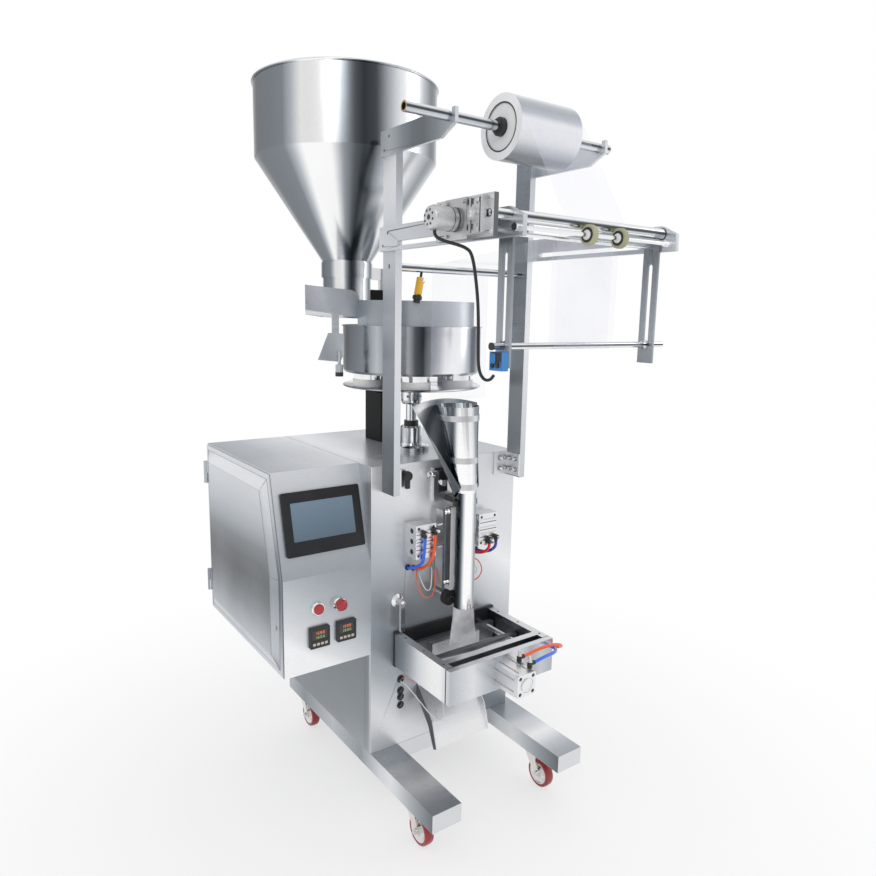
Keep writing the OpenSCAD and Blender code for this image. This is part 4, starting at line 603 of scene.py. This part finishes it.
def spline(pts, step=3.0):
    """Smooth curve through the points, evenly spaced."""
    P = [Vector(p) for p in pts]
    P = [P[0] * 2 - P[1]] + P + [P[-1] * 2 - P[-2]]
    out = []
    for i in range(1, len(P) - 2):
        p0, p1, p2, p3 = P[i - 1:i + 3]
        n = max(3, int((p2 - p1).length / step))
        for k in range(n):
            t = k / n
            out.append(0.5 * ((2 * p1) + (p2 - p0) * t + (2 * p0 - 5 * p1 + 4 * p2 - p3) * t * t
                              + (3 * p1 - p0 - 3 * p2 + p3) * t ** 3))
    out.append(P[-2])
    return out


def cord(name, pts, r, mat, node):
    """A hose, wire or cable: a curve of one open spline along the solid's route."""
    path = spline(pts)
    cu = bpy.data.curves.new(name, "CURVE"); cu.dimensions = "3D"
    s = cu.splines.new("POLY"); s.points.add(len(path) - 1)
    for p, q in zip(s.points, path):
        p.co = (*V(*q), 1)
    cu.bevel_depth = r / 1000; cu.bevel_resolution = 5; cu.use_fill_caps = True
    cu.materials.append(mat)
    s.use_smooth = True
    o = link(bpy.data.objects.new(name, cu), "machine")
    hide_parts(node)


# ---------------------------------------------------------------- hoses, wires and cable
HOSES = {
    "hose_blue_left": ("hose_b", [
        (118, -54, 707.7), (118, -55, 700), (117, -55, 684), (116, -54, 668), (115, -53, 654),
        (113, -46, 641), (110, -34, 632), (107, -20, 625), (104, -9, 621), (104, -0.4, 621)]),
    "hose_orange_left": ("hose_o", [
        (148, -54, 711.7), (148, -55, 704), (147, -55, 688), (145, -54, 670), (142, -53, 654),
        (137, -47, 639), (131, -35, 627), (125, -20, 619), (121, -9, 616), (121, -0.4, 616)]),
    "hose_blue_right": ("hose_n", [
        (341, -54, 662.7), (341, -55, 657), (338, -54, 647), (331, -47, 638), (324, -34, 632),
        (319, -18, 630), (318, -8, 630), (318, -0.4, 630)]),
    "hose_red_right": ("hose_r", [
        (319, -54, 659.7), (319, -55, 654), (316, -53, 645), (310, -46, 637), (302, -34, 633),
        (294, -20, 632), (290, -9, 632), (290, -0.4, 632)]),
    "hose_orange_front": ("hose_o", [
        (262.3, -262, 452), (276, -262, 453), (300, -262, 456), (328, -262, 457), (356, -262, 455),
        (378, -261, 449), (391, -256, 441), (397, -247, 434), (397, -237, 429), (391, -229, 426),
        (380, -227, 426)]),
    "hose_blue_front": ("hose_b", [
        (262.3, -298, 452), (278, -298, 454), (300, -297, 456), (325, -292, 454), (346, -281, 449),
        (360, -268, 444), (368, -254, 441), (368, -238.4, 440)]),
}
WIRES = {
    "wire_left_a": ("wire_o", [
        (128, -0.5, 612), (128, -4, 611.6), (124, -12, 594), (124, -22, 570), (134, -28, 548),
        (148, -30, 542), (160, -30, 548), (169, -26, 566), (174, -18, 588), (175, -12, 608)]),
    "wire_left_b": ("wire_w", [
        (136, -0.5, 604), (136, -4, 603.6), (135, -12, 590), (138, -20, 574), (144, -24, 562),
        (152, -25, 558), (160, -22, 564), (166, -16, 580), (170, -11, 598), (172, -6, 610)]),
    "wire_right_a": ("wire_o", [
        (280, -0.5, 632), (280, -4, 631.6), (298, -12, 616), (314, -21, 602), (320, -26, 580),
        (310, -26, 562), (294, -22, 554), (280, -16, 556), (272, -8, 566)]),
    "wire_right_b": ("wire_w", [
        (284, -0.5, 622), (284, -4, 621.6), (294, -10, 606), (304, -16, 594), (309, -19, 580),
        (302, -19, 570), (290, -16, 564), (281, -10, 568), (276, -4, 576)]),
    "wire_jaw_a": ("wire_w", [
        (86, 1, 322.4), (86, -3, 322.2), (92, -14, 318), (104, -28, 300), (118, -44, 276),
        (134, -58, 250), (150, -68, 230), (162, -70, 224), (172, -68, 232), (178, -60, 258),
        (180, -50, 292), (181, -40, 330), (181, -36, 368)]),
    "wire_jaw_b": ("wire_p", [
        (92.6, 1, 329), (92.8, -3, 329), (102, -14, 327), (112, -20, 322), (122, -23, 316),
        (130, -26, 320), (134, -27, 336), (135, -27, 368)]),
}
CABLE = [
    (-88, -368, 1381.2), (-88, -369, 1376), (-84, -371, 1370), (-72, -375, 1365),
    (-58, -378, 1362), (-44, -381, 1359), (-30, -382, 1355), (-20, -383, 1348), (-14, -385, 1330),
    (-10, -388, 1300), (-6, -390, 1262), (-4, -391, 1220), (-3, -391, 1180), (-2, -392, 1150),
    (2, -394, 1132), (10, -398, 1122), (18, -403, 1123), (22, -408, 1131)]
for name, (m, pts) in HOSES.items():
    cord(name, pts, 4, M[m], "air_hoses")
for name, (m, pts) in WIRES.items():
    cord(name, pts, 1.4, M[m], "heater_wires")
cord("motor_lead", CABLE, 3, M["cable"], "motor_cable")

# ---------------------------------------------------------------- finishes of the CAD nodes, with lit and shaded copies of sheets as painted light
def collar_part(r, d):
    """Part of the collar rod at radius r and at d along it from the nearer collar's middle."""
    if d > 9.2:
        return 0
    return 1 if r > 14.1 or (r > 13.5 and d < 6.1) else 2 if r > 9.2 else 3 if r > 4.2 else 0


def on_screen(x, along, above):
    """Is this the screen's glass, by its places along and above the sloping panel?"""
    return 5.2 < above < 6.6 and abs(x + 110.5) < 79 and 60 < along < 180


def roll_part(r, n):
    return 2 if r < 19 else 1 if r < 46.5 else 3 if abs(n.x) > 0.7 else 0


def tube_radius(z):
    """Radius of the former, which opens into the funnel above Z 815."""
    return 25 + 27 * max(0, z - 815) / 207


paint("cabinet_shell", [M["sheet"], M["top"], M["under"], M["back"]], lambda x, y, z, n:
      1 if n.z > 0.7 else 2 if n.x < -0.7 and x < 1 else
      3 if n.y > 0.7 or n.x > 0.7 else 0, soft=1.6)
paint("control_box", [M["box_front"], M["top"], M["back"], M["slope"]], lambda x, y, z, n:
      3 if n.y < -0.9 and z > 651 and y > 2 or (n.y < -0.5 and n.z > 0.1) else
      0 if n.y < -0.9 else 1 if n.z > 0.7 else 2, soft=1.6)
# the side door's bevels take a lighter copy of its sheet as painted light
paint("side_door", [M["door_side"], M["door_rim"], M["back"]], lambda x, y, z, n:
      2 if y > 485 or n.x > 0.5 else 1 if n.x > -0.985 else 0, soft=1.2)
paint("rear_door", M["back"], soft=1.6)
paint("front_plate", [M["front"], M["top"], M["rail_side"]], lambda x, y, z, n:
      1 if n.z > 0.7 else 2 if abs(n.x) > 0.7 and x < 5 else 0, soft=1.0)
paint("base_frame", [M["rail_side"], M["zinc"], M["rail_top"], M["plate"]], lambda x, y, z, n:
      1 if z < 105 else 2 if n.z > 0.7 else 3 if n.y < -0.7 else 0, soft=2.5, seg=3)
# masts: painted light on their fronts and painted shade on their sides, chosen by each face's
# normal
paint("masts", [M["mast_front"], M["mast_side"], M["plate"], M["mast_r"]], lambda x, y, z, n:
      2 if 47 < x < 415.5 else (3 if x > 300 else 1) if abs(n.x) > 0.7 else 0, soft=1.0)
paint("reel_arms", [M["reel_arm"], M["arm_side"]], lambda x, y, z, n:
      0 if x < 200 and n.x < -0.7 else 1, soft=0.7)
paint("hanging_bars", M["hang"], soft=0.7)
paint("roller_arms", [M["arm_side"], M["rubber"], M["polish"]], lambda x, y, z, n:
      1 if 430.9 < x < 433.1 and off(y, z, DRIVE) < 12 else
      2 if 29.6 < x < 432.9 else 0, soft=0.7)
paint("hopper", [M["hopper"], M["hopper_in"], M["bolt"]], lambda x, y, z, n:
      2 if z > 1780.5 and off(x, y, HOPPER) > 223.5 else
      1 if n.x * (x - HOPPER[0]) + n.y * (y - HOPPER[1]) < 0 else 0)
paint("hopper_clamp", [M["hopper"], M["plate"]], lambda x, y, z, n:
      0 if off(x, y, HOPPER) < 66 else 1, soft=0.7)
paint("hopper_column", M["paint"], soft=1.5)
paint("feed_trough", [M["trough"], M["black"]], lambda x, y, z, n:
      1 if z < 1099.2 and off(x, y, (-22, 115)) < 11 else 0)
paint("pan", M["pan"])
paint("measuring_cups", M["polish"])
paint("lower_disc", [M["pan"], M["white"], M["black"]], lambda x, y, z, n:
      1 if z > 1060.5 and off(x, y, PAN) > 60 else
      2 if z > 1060.5 and off(x, y, PAN) < 31 else 0)
paint("drive_shaft", M["shaft"])
paint("shaft_housing", [M["shaft"], M["black"]], lambda x, y, z, n: 1 if z > 950.2 else 0)
paint("forming_collar", M["wing"])
paint("forming_tube", [M["tube"], M["tool"], M["funnel"]], lambda x, y, z, n:
      1 if any(a - 0.5 < z < a + 14.5 for a in (823, 887, 988)) and
      hypot(x - MID, y - TUBE_Y - 42 * max(0, z - 815) / 207) > tube_radius(z) + 0.3 else
      2 if z > 816 else 0)
paint("former_holder", [M["plate"], M["black"], M["polish"]], lambda x, y, z, n:
      1 if (z < 795.5 and y < -8.05) or
      (175.9 < x < 202.1 and -26.1 < y < -5.9 and 807 < z < 863) else
      0 if y > -8.1 and x > 173.9 else 2, soft=0.7)
# the seal bars' front faces are plain white, a painted highlight
for n in ("seal_bar_left", "seal_bar_right"):
    paint(n, [M["bright"], M["tool"], M["polish"]], lambda x, y, z, n:
          0 if 12 < abs(x - MID) < 24.7 and y < -27.9 and n.y < -0.5 else
          1 if 36.5 < abs(x - MID) < 42.7 else 2, soft=0.7)
paint("sealer_cylinders", M["alu"], soft=0.6)
# the jaw box's inner walls take a darker steel as painted shade
paint("jaw_frame", [M["plate"], M["black"], M["polish"], M["jaw_front"], M["jaw_side"], M["inner"]],
      lambda x, y, z, n: 1 if y > -8.2 else
      2 if min(off(x, z, (110.5, 425)), off(x, z, (333.5, 425))) < 7.5 and -221.9 < y < -8.1 else
      3 if y < -237 else 4 if abs(n.x) > 0.7 and not 70 < x < 374 else
      5 if abs(n.z) < 0.7 else 0, soft=0.8)
for n in ("jaw_rear", "jaw_front"):
    paint(n, [M["darkplate"], M["tool"]], lambda x, y, z, n:
          1 if abs(x - MID) < 76 and 390 < z < 428 else 0, soft=0.7)
paint("jaw_cylinder", M["barrel"], soft=0.5)
# the chute's left edge is dark plate: a painted shadow in the gap at its side
paint("chute", [M["chute"], M["darkplate"]], lambda x, y, z, n: 1 if x < 138.05 else 0)
paint("support_lever", M["polish"], soft=2.0, seg=3)
paint("guide_bar", M["bar_y"])
paint("drive_roller", M["bar_d"])
paint("reel_shaft", [M["bar_r"], M["brass"]], lambda x, y, z, n:
      1 if x < -79.5 or (x < -39 and off(y, z, REEL) < 7.3) else 0)
paint("dancer_rod", [M["bar_p"], M["black"]], lambda x, y, z, n: 1 if x < 5.6 else 0)
paint("collar_rod", [M["polish"], M["olive"], M["black"], M["white"]], lambda x, y, z, n:
      collar_part(off(y, z, COLLAR), min(abs(x - 196), abs(x - 280))))
paint("gear_motor", M["cast"], soft=0.8)
paint("gearbox", [M["cast"], M["darkplate"], M["polish"]], lambda x, y, z, n:
      0 if x < -25.9 else 1 if x < -15.9 else 2, soft=0.6)
paint("button_rings", M["polish"])
paint("start_button", M["red"])
paint("stop_button", M["red"])
paint("touch_screen", [M["bezel"], M["screen"]], lambda x, y, z, n:
      on_screen(x, y * TILT_SIN + (z - SCREEN_FOOT) * TILT_COS,
                -y * TILT_COS + (z - SCREEN_FOOT) * TILT_SIN))
paint("controllers", [M["black"], M["gloss_black"], M["key"]], lambda x, y, z, n:
      2 if y < -9.3 else 1 if -8.3 < y < -7.5 and z > 490 else 0)
paint("photo_sensors", [M["blue_box"], M["black"], M["orange"], M["polish"]], lambda x, y, z, n:
      ((0 if x > 13.4 and not (y < -420 and x < 16.2 and z > 1152) else 1) if y < -300 else
       1 if z > 1321.3 or z < 1283 else 3 if z > 1311.3 else 2))
for k in ("fl", "fr", "rl", "rr"):
    paint("fork_" + k, M["zinc"], soft=0.5)
paint("film_roll", [M["roll"], M["white"], M["black"], M["roll_end"]], lambda x, y, z, n:
      roll_part(off(y, z, REEL), n))
paint("air_fittings", [M["black"], M["zinc"]], lambda x, y, z, n:
      1 if (y < -200 and z > 456.6 and abs(x - 248) < 5) or -100 < y < -60.3 else 0)
for n in ("pull_wheel_left", "pull_wheel_right"):
    paint(n, [M["rubber"], M["polish"]], lambda x, y, z, n:
          1 if hypot(abs(x - MID) - 21.1, z - 536) < 5.3 else 0)

# ---------------------------------------------------------------- caster wheels
R, w = 37.5, 12  # a tyre's radius and half its width
TYRE = [(28.5, -w + 1), (R - 4, -w), (R - 1.6, -w + 1.6), (R - 0.5, -w + 4.5), (R, 0),
        (R - 0.5, w - 4.5), (R - 1.6, w - 1.6), (R - 4, w), (28.5, w - 1)]
RIM = [(4.1, 13.5), (11, 13.5), (11.6, 12.8), (12, 10), (14, 9.2), (22, 8.4), (25, 9.6),
       (26.5, 11.3), (28.6, 11.3)]
HUB = [(r, -h) for r, h in RIM] + RIM[::-1]
CASTERS = ("fl", 40, -172), ("fr", 425, -172), ("rl", 40, 429), ("rr", 425, 429)
for k, x, y in CASTERS:
    for name, prof, mat, seg, slot in (("tyre_", TYRE, "tyre", 64, "red_tyre"),
                                       ("hub_", HUB, "zinc", 48, "zinc_steel")):
        o = add(name + k, *rev_data(prof, (x, y, R), "X", seg), M[mat], "wheel_" + k, slot)
        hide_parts("wheel_" + k)
    b = Bag()
    for s in (-1, 1):
        for q in range(5):
            a = 2 * pi * q / 5
            b.rev([(2.6, 0), (2.6, 1.2), (1.8, 1.8), (0, 1.9)],
                  (x + s * 8.6, y + 19 * cos(a), R + 19 * sin(a)), side(s), 16)
    b.make("hub_rivets_" + k, M["bolt"], "wheel_" + k, "zinc_steel")
    b = Bag()
    for s in (-1, 1):
        b.hexbolt((x + s * 20.2, y, R), side(s), 5.6, 4, stud=2)
    b.make("axle_nuts_" + k, M["bolt"], "fork_" + k, "zinc_steel")

# ---------------------------------------------------------------- screws and small hardware
# Screws of the masts' angle brackets; each inner face of a mast looks along +X or -X
MAST_SIDES = (1, 46.5), (-1, 416)
b = Bag()
for s, x0 in MAST_SIDES:
    for z in (841, 869):
        b.socket((x0 + s * 26, -6.8, z), "-Y", 5.2, 3.5)
        b.socket((x0 + s * 11, -3.8, z), "-Y", 4.6, 5)
        for y in (-17, -37):
            b.socket((x0 + s * 6.8, y, z), side(s), 4.8, 3)
b.make("bracket_screws", M["bolt"], "machine")
# Their washers
b = Bag()
for s, x0 in MAST_SIDES:
    for z in (841, 869):
        b.ring(6.1, 5, (x0 + s * 26, -6.7, z), "-Y")
        b.ring(5.5, 4.4, (x0 + s * 11, -3.7, z), "-Y")
        for y in (-17, -37):
            b.ring(5.7, 4.6, (x0 + s * 6.7, y, z), side(s))
b.make("bracket_washers", M["darkplate"], "machine")
# Seal cylinders: through holes and slots of their square bodies, as flat black marks of painted
# shade
b = Bag()
for x0, x1 in ((96, 155), (289, 348)):
    for z in (671, 697, 723):
        b.rev([(6.6, 0), (6.6, 0.15), (4.4, 0.2), (4.4, 0.12), (0, 0.12)],
              (x0 - 0.05, -30, z), "-X", 28)
    for z in (678, 697, 716):
        b.box((x0 + 2, -48.12, z - 0.9), (x1 - 2, -47.9, z + 0.9))
    for x in (x0 + 8, x1 - 8):
        for z in (663, 731):
            b.disc(3.6, 0.15, (x, -47.95, z), "-Y", 20)
b.make("seal_cylinder_slot_shade", M["black"], "machine")
# Small bolts of the reel arms and roller arms on the masts
b = Bag()
for x, d, low in ((24, "-X", 1587), (438.5, "X", 1587), (22, "-X", 1386), (440.5, "X", 1386)):
    for y, z in ((-14, low), (-34, low + 26)):
        b.socket((x, y, z), d, 2.9, 1.6)
b.make("arm_bolts", M["darkplate"], "machine")
# Screws on the jaw box's top, the jaw cylinder's flange screws and its end boss
b = Bag()
for x in (74.5, 369.5):
    for y in (-40, -120, -200):
        b.rev([(2.95, 0), (2.95, 0.5), (1.6, 0.5), (1.4, 0.1), (0, 0.1)], (x, y, 455.02), "Z", 20)
for x in (MID - 19, MID + 19):
    for z in (JAW_CYLINDER_Z - 19, JAW_CYLINDER_Z + 19):
        b.socket((x, -314.05, z), "-Y", 4.2, 2.6)
b.make("jaw_box_screws", M["darkplate"], "machine")
b = Bag()
b.rev([(15.6, 0), (15.6, 1.6), (14.4, 2.4), (11, 2.6), (10.6, 1.6), (0, 1.5)],
      (MID, -317.95, JAW_CYLINDER_Z), "-Y", 40)
b.make("cylinder_boss", M["barrel"], "machine")

# Level sensor: knurled silver nut on the orange body
SD = Vector((-sin(radians(11)), 0, -cos(radians(11))))  # the way that the sensor looks
b = Bag()
b.rev([(9.2, 0), (9.7, 0.6), (9.7, 9.6), (9.2, 10.2)], Vector((118, -26, 1331)) + SD * 9.8,
      SD, 48, lambda t, j: 1 + 0.012 * cos(16 * t))
b.make("sensor_nut", M["polish"], "machine")

# Screws of the coupling under the pan, which turn with it
b = Bag()
for a in range(15, 375, 40):
    ca, sa = cos(radians(a)), sin(radians(a))
    b.socket((PAN[0] + 26.8 * ca, PAN[1] + 26.8 * sa, 1028 if a % 80 > 40 else 1018),
             (ca, sa, 0), 3, 0.8)
b.make("coupling_screws", M["darkplate"], "turntable")

# Dark gaps: round the film's core and where the jaw box's plates meet
b = Bag()
for x, d in ((150, "-X"), (316, "X")):
    b.rev([(44.6, 0.05), (47.4, 0.05), (47.4, 0.25), (44.6, 0.25), (44.6, 0.05)], (x, *REEL), d, 72)
b.make("core_groove", M["black"], "reel", "black_plastic")
b = Bag()
for x in (64.35, 379.45):
    b.box((x - 0.2, -223.6, 373.2), (x + 0.5, -220.6, 456.8))
b.box((64.6, -222.9, 456.95), (379.4, -221.3, 457.15))
b.box((84.2, -203.8, 457.0), (359.8, -202.8, 457.1))
b.make("jaw_box_seams", M["black"], "machine", "black_plastic")

# The gear motor's joints, slots and screws; its rating plate is left bare. The rings are dark
# joints; the flat black slots are painted shade
MOTOR_END = -100.9
b = Bag()
for x, r, w in ((-46.4, 21.1, 1.6), (-58, 21.1, 0.7), (-80.5, 21.1, 1.0), (-90, 20.4, 0.8)):
    b.rev([(r - 0.9, 0), (r, 0), (r, w), (r - 0.9, w)], (x, *MOTOR), "-X", 56)
for k in range(8):
    a = 2 * pi * k / 8 + 0.3
    b.disc(2.3, 0.25, (MOTOR_END, MOTOR[0] + 12.5 * cos(a), MOTOR[1] + 12.5 * sin(a)), "-X", 12)
b.disc(4.6, 0.25, (MOTOR_END, *MOTOR), "-X", 24)
for y in (-432, -408, -384, -340, -316):
    b.box((-40.25, y - 1.1, 1378 if y < -400 else 1421), (-39.9, y + 1.1, 1436))
for z in (1381, 1434):
    b.box((-26.2, -442, z - 0.6), (-25.9, -296, z + 0.6))
b.make("motor_gaps", M["black"], "machine", "cast_aluminium")
b = Bag()
for x, ys, zs in ((-40.2, (-428, -344), (1383, 1431)), (-26.1, (-446, -292), (1379, 1435))):
    for y in ys:
        for z in zs:
            b.socket((x, y, z), "-X", 3.2, 2.4)
b.hexbolt((-47, -416, 1409), "-X", 5, 3)
b.make("gearbox_screws", M["bolt"], "machine", "cast_aluminium")

# Fine dark lines of painted shade where the side door's raised panel is folded, and seams of the
# cabinet's sheets
def side_outline(g):
    """The door's outline, smaller by g all round: (Y, Z) points."""
    return [(g, 418 + g), (g, 650), (60 + g * 0.78, 885 - g), (495 - g, 885 - g),
            (495 - g, 418 + g)]


def rod(b, p, q, r):
    d = Vector(q) - Vector(p)
    b.rev([(0, 0), (r, 0), (r, d.length), (0, d.length)], p, d, 6)


b = Bag()
inner = [(-236.5, y, z) for y, z in side_outline(45.4)]
outer = [(-227.2, y, z) for y, z in side_outline(16)]
for k in range(5):
    rod(b, inner[k], inner[(k + 1) % 5], 0.7)
    rod(b, outer[k], outer[(k + 1) % 5], 0.5)
    rod(b, outer[k], inner[k], 0.6)
b.make("side_door_fold_shade", M["darkplate"], "side_door", "stainless_sheet")
b = Bag()
b.box((-0.6, 62, 884.8), (0.6, 494, 885.08))
b.box((-0.15, 27.3, 152), (0.1, 28.5, 417))
b.make("cabinet_seams", M["darkplate"], "machine", "stainless_sheet")

# Screws of the cabinet's right side
b = Bag()
for z in (200, 360, 520, 680, 840):
    for y in (60, 440):
        b.rev([(3.4, 0), (3.4, 0.9), (2.4, 1.7), (0, 2)], (443, y, z), "X", 16)
b.make("panel_screws", M["bolt"], "machine")

# Front panel: black latch near the left mast, and rubber rings of the cable outlets
b = Bag()
b.rev([(11, 0), (11, 3), (8, 4), (8, 9), (12, 10), (13, 13), (12, 20), (9, 22), (0, 22.5)],
      (91, 0, 856), "-Y", 28)
b.box((86, -20, 826), (96, -11, 852))
for z in (328, 297, 279, 257):
    b.rev([(7.4, -1), (7.4, 1.2), (8.4, 2.2), (9.8, 1.6), (10.2, -0.1)], (87, 0, z), "-Y", 28)
    b.disc(7.4, 0.4, (87, 9, z), "-Y", 28)
for x, z in ((104, 621), (121, 616), (318, 630), (290, 632)):
    b.rev([(4.3, -0.1), (4.3, 2), (5.8, 2.8), (7.6, 1.8), (7.6, -0.1)], (x, 0, z), "-Y", 28)
b.make("panel_rubber", M["black"], "machine", "black_plastic")

# ---------------------------------------------------------------- controllers' digits
def seven(b, x, z, h, ch, i, w=3.2, t=0.8, y=-8.05):
    """A digit of seven segments: foot at x, z, height h, width w, thickness t, material i."""
    S = {"0": "abcdef", "1": "bc", "5": "afgcd", "6": "afgedc", "8": "abcdefg"}[ch]
    q = {"a": (0, h, w, h), "b": (w, h / 2, w, h), "c": (w, 0, w, h / 2), "d": (0, 0, w, 0),
         "e": (0, 0, 0, h / 2), "f": (0, h / 2, 0, h), "g": (0, h / 2, w, h / 2)}
    for s in S:
        x1, z1, x2, z2 = q[s]
        b.box((x + x1 - t / 2, y - 0.25, z + z1 - t / 2), (x + x2 + t / 2, y, z + z2 + t / 2), i)


b = Bag()
for cx, top, low in ((-139, "1588", "1600"), (-70, "1506", "1550")):
    for k in range(4):
        seven(b, cx - 12 + k * 6.6, 510.5, 5.2, top[k], 0)
        seven(b, cx - 12 + k * 6.6, 500.5, 4.8, low[k], 1)
b.make("controller_digits", [M["digit_r"], M["digit_g"]], "machine", "black_plastic", smooth=False)

# ---------------------------------------------------------------- film
FILM_X = 150.0, 316.0
ROLL_R = 63.9
OVER = -441, 1421.3  # where the web meets the drive roller: Y, Z


def sheet_grid(name, f, nu, nv):
    """A thin sheet of film: f(across, along), each from 0 to 1, gives its points."""
    vs = [f(i / nu, j / nv) for i in range(nu + 1) for j in range(nv + 1)]
    row = nv + 1
    fs = [(i * row + j, (i + 1) * row + j, (i + 1) * row + j + 1, i * row + j + 1)
          for i in range(nu) for j in range(nv)]
    o = add(name, vs, fs, M["film"], "machine", "clear_film", angle=80)
    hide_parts("film_web")


def across(u):
    return FILM_X[0] + (FILM_X[1] - FILM_X[0]) * u


def ripple(u, w, waves):
    return 0.3 * sin(waves * u) * sin(pi * w)


v = OVER[0] - REEL[0], OVER[1] - REEL[1]
ang = atan2(v[1], v[0]) - acos(ROLL_R / hypot(*v))
ra, rz = REEL[0] + ROLL_R * cos(ang), REEL[1] + ROLL_R * sin(ang)
sheet_grid("film_from_roll", lambda u, w: (
    across(u), ra + (OVER[0] - ra) * w + 0.6 * sin(pi * w) * sin(9 * u),
    rz + (1421.5 - rz) * w), 24, 20)
sheet_grid("film_to_dancer", lambda u, w: (
    across(u), -428.5 + ripple(u, w, 7), DANCER[1] + (DRIVE[1] - DANCER[1]) * w), 24, 20)
sheet_grid("film_round_dancer", lambda u, w: (
    across(u), -421 - 7.5 * cos(pi * w), DANCER[1] - 6.8 * sin(pi * w)), 12, 12)
sheet_grid("film_from_dancer", lambda u, w: (
    across(u), -413.3 + ripple(u, w, 8), DANCER[1] + (1385 - DANCER[1]) * w), 24, 20)
sheet_grid("film_to_guide", lambda u, w: (
    across(u), -411 + 384 * w, 1388.3 - 36.6 * w - 3 * sin(pi * w)), 24, 24)
sheet_grid("film_to_former", lambda u, w: (
    139 + 166 * u, -35.7 + ripple(u, w, 8), 1037 + (1340 - 1037) * w), 24, 24)


def bag_point(u, w):
    """The tube of film flares from the forming tube to a flat, wrinkled bag."""
    a = 2 * pi * u
    s = w ** 0.8
    hw, hd = 25.7 + 17.0 * s, 25.7 * (1 - s) ** 0.9 + 0.9
    wr = (1 + 0.035 * sin(3 * a + 9 * w) * sin(pi * min(1, w * 1.2))
          + 0.02 * sin(11 * a - 14 * w) * w * (1 - w))
    return MID + hw * cos(a) * min(wr, 1.0), TUBE_Y + hd * sin(a) * wr, 519.8 - 93 * w


n, rows = 64, 28  # faces round the bag and down it
vs = [bag_point(i / n, j / rows) for j in range(rows + 1) for i in range(n)]
fs = [(j * n + i, j * n + (i + 1) % n, (j + 1) * n + (i + 1) % n, (j + 1) * n + i)
      for j in range(rows) for i in range(n)]
o = add("bag", vs, fs, M["bag"], "machine", "clear_film", angle=80)
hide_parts("film_web")


# ---------------------------------------------------------------- floor and light
FLOOR_HALF = 14  # metres


def rays(t):
    return node(t, "LightPath", {}).node.outputs


def stage_floor():
    """Ground that takes shadows, and that the camera sees fade from grey to white."""
    m, t, b, at = new_mat("floor")
    give(t, b, {"Base Color": (0.90, 0.90, 0.905, 1), "Roughness": 0.6, "Specular IOR Level": 0.2})
    away = node(t, "VectorMath", {0: at}, "Value", operation="LENGTH")
    fade = remap(t, away, 0.5, 1.7, 0.62, 1, interpolation_type="SMOOTHSTEP")
    ray = rays(t)
    seen = larger(t, ray["Is Camera Ray"], ray["Is Glossy Ray"])
    part = node(t, "Math", {0: seen, 1: fade}, operation="MULTIPLY")
    lit = node(t, "Emission", {"Strength": 1.0})
    both = node(t, "MixShader", {0: part, 1: b.outputs[0], 2: lit})
    give(t, t.nodes["Material Output"], {"Surface": both})
    me = bpy.data.meshes.new("floor")
    s = FLOOR_HALF
    me.from_pydata([(-s, -s, 0), (s, -s, 0), (s, s, 0), (-s, s, 0)], [], [(0, 1, 2, 3)])
    me.materials.append(m)
    o = bpy.data.objects.new("floor", me)
    bpy.context.scene.collection.objects.link(o)
    o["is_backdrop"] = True


stage_floor()


def world():
    """A white studio with soft darker bands round the horizon and an even ceiling."""
    w = bpy.data.worlds.new("studio"); bpy.context.scene.world = w
    w.use_nodes = True
    t = w.node_tree
    t.nodes.clear()
    xyz = node(t, "SeparateXYZ", {0: node(t, "TexCoord", {}, "Generated")}).node.outputs
    turn = node(t, "Math", {0: xyz["Y"], 1: xyz["X"]}, operation="ARCTAN2")
    marks = [(16, 0.72), (54, 1.0), (92, 0.66), (125, 0.94), (156, 1.0), (190, 0.80), (234, 0.92),
             (258, 0.72), (279, 0.50), (292, 0.80), (306, 0.98), (350, 1.0)]
    stops = sorted((place_round(a), (c, c, c * 1.01, 1)) for a, c in marks)
    wrap = (stops[0][1][0] + stops[-1][1][0]) / 2
    ends = (wrap, wrap, wrap, 1)
    tones = ramp(t, remap(t, turn, -pi, pi), [(0, ends)] + stops + [(1, ends)], "EASE")
    up = remap(t, xyz["Z"], 0.35, 0.85, interpolation_type="SMOOTHSTEP")
    tone = node(t, "Mix", {"Factor": up, "A": tones, "B": (1, 1, 1, 1)}, "Result", data_type="RGBA")
    soft = node(t, "Background", {"Color": tone, "Strength": 0.92})
    white = node(t, "Background", {"Color": (1, 1, 1, 1), "Strength": 1.0})
    ray = rays(t)
    seen = larger(t, ray["Is Camera Ray"], ray["Is Transmission Ray"])
    both = node(t, "MixShader", {0: seen, 1: soft, 2: white})
    give(t, t.nodes.new("ShaderNodeOutputWorld"), {"Surface": both})


world()


def lamp(name, at, size, power):
    """An area light that looks at the machine's middle."""
    d = bpy.data.lights.new(name, "AREA"); d.shape = "RECTANGLE"
    d.size, d.size_y, d.energy = size[0], size[1], power
    o = bpy.data.objects.new(name, d)
    bpy.context.scene.collection.objects.link(o)
    o.location = at
    o.rotation_mode = "QUATERNION"
    o.rotation_quaternion = (Vector((0, 0, 0.9)) - Vector(at)).to_track_quat("-Z", "Y")


lamp("key", (-2.2, -2.4, 3.2), (1.6, 1.6), 16)
lamp("side", (2.9, -1.5, 2.0), (0.8, 2.2), 8)

low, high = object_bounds()
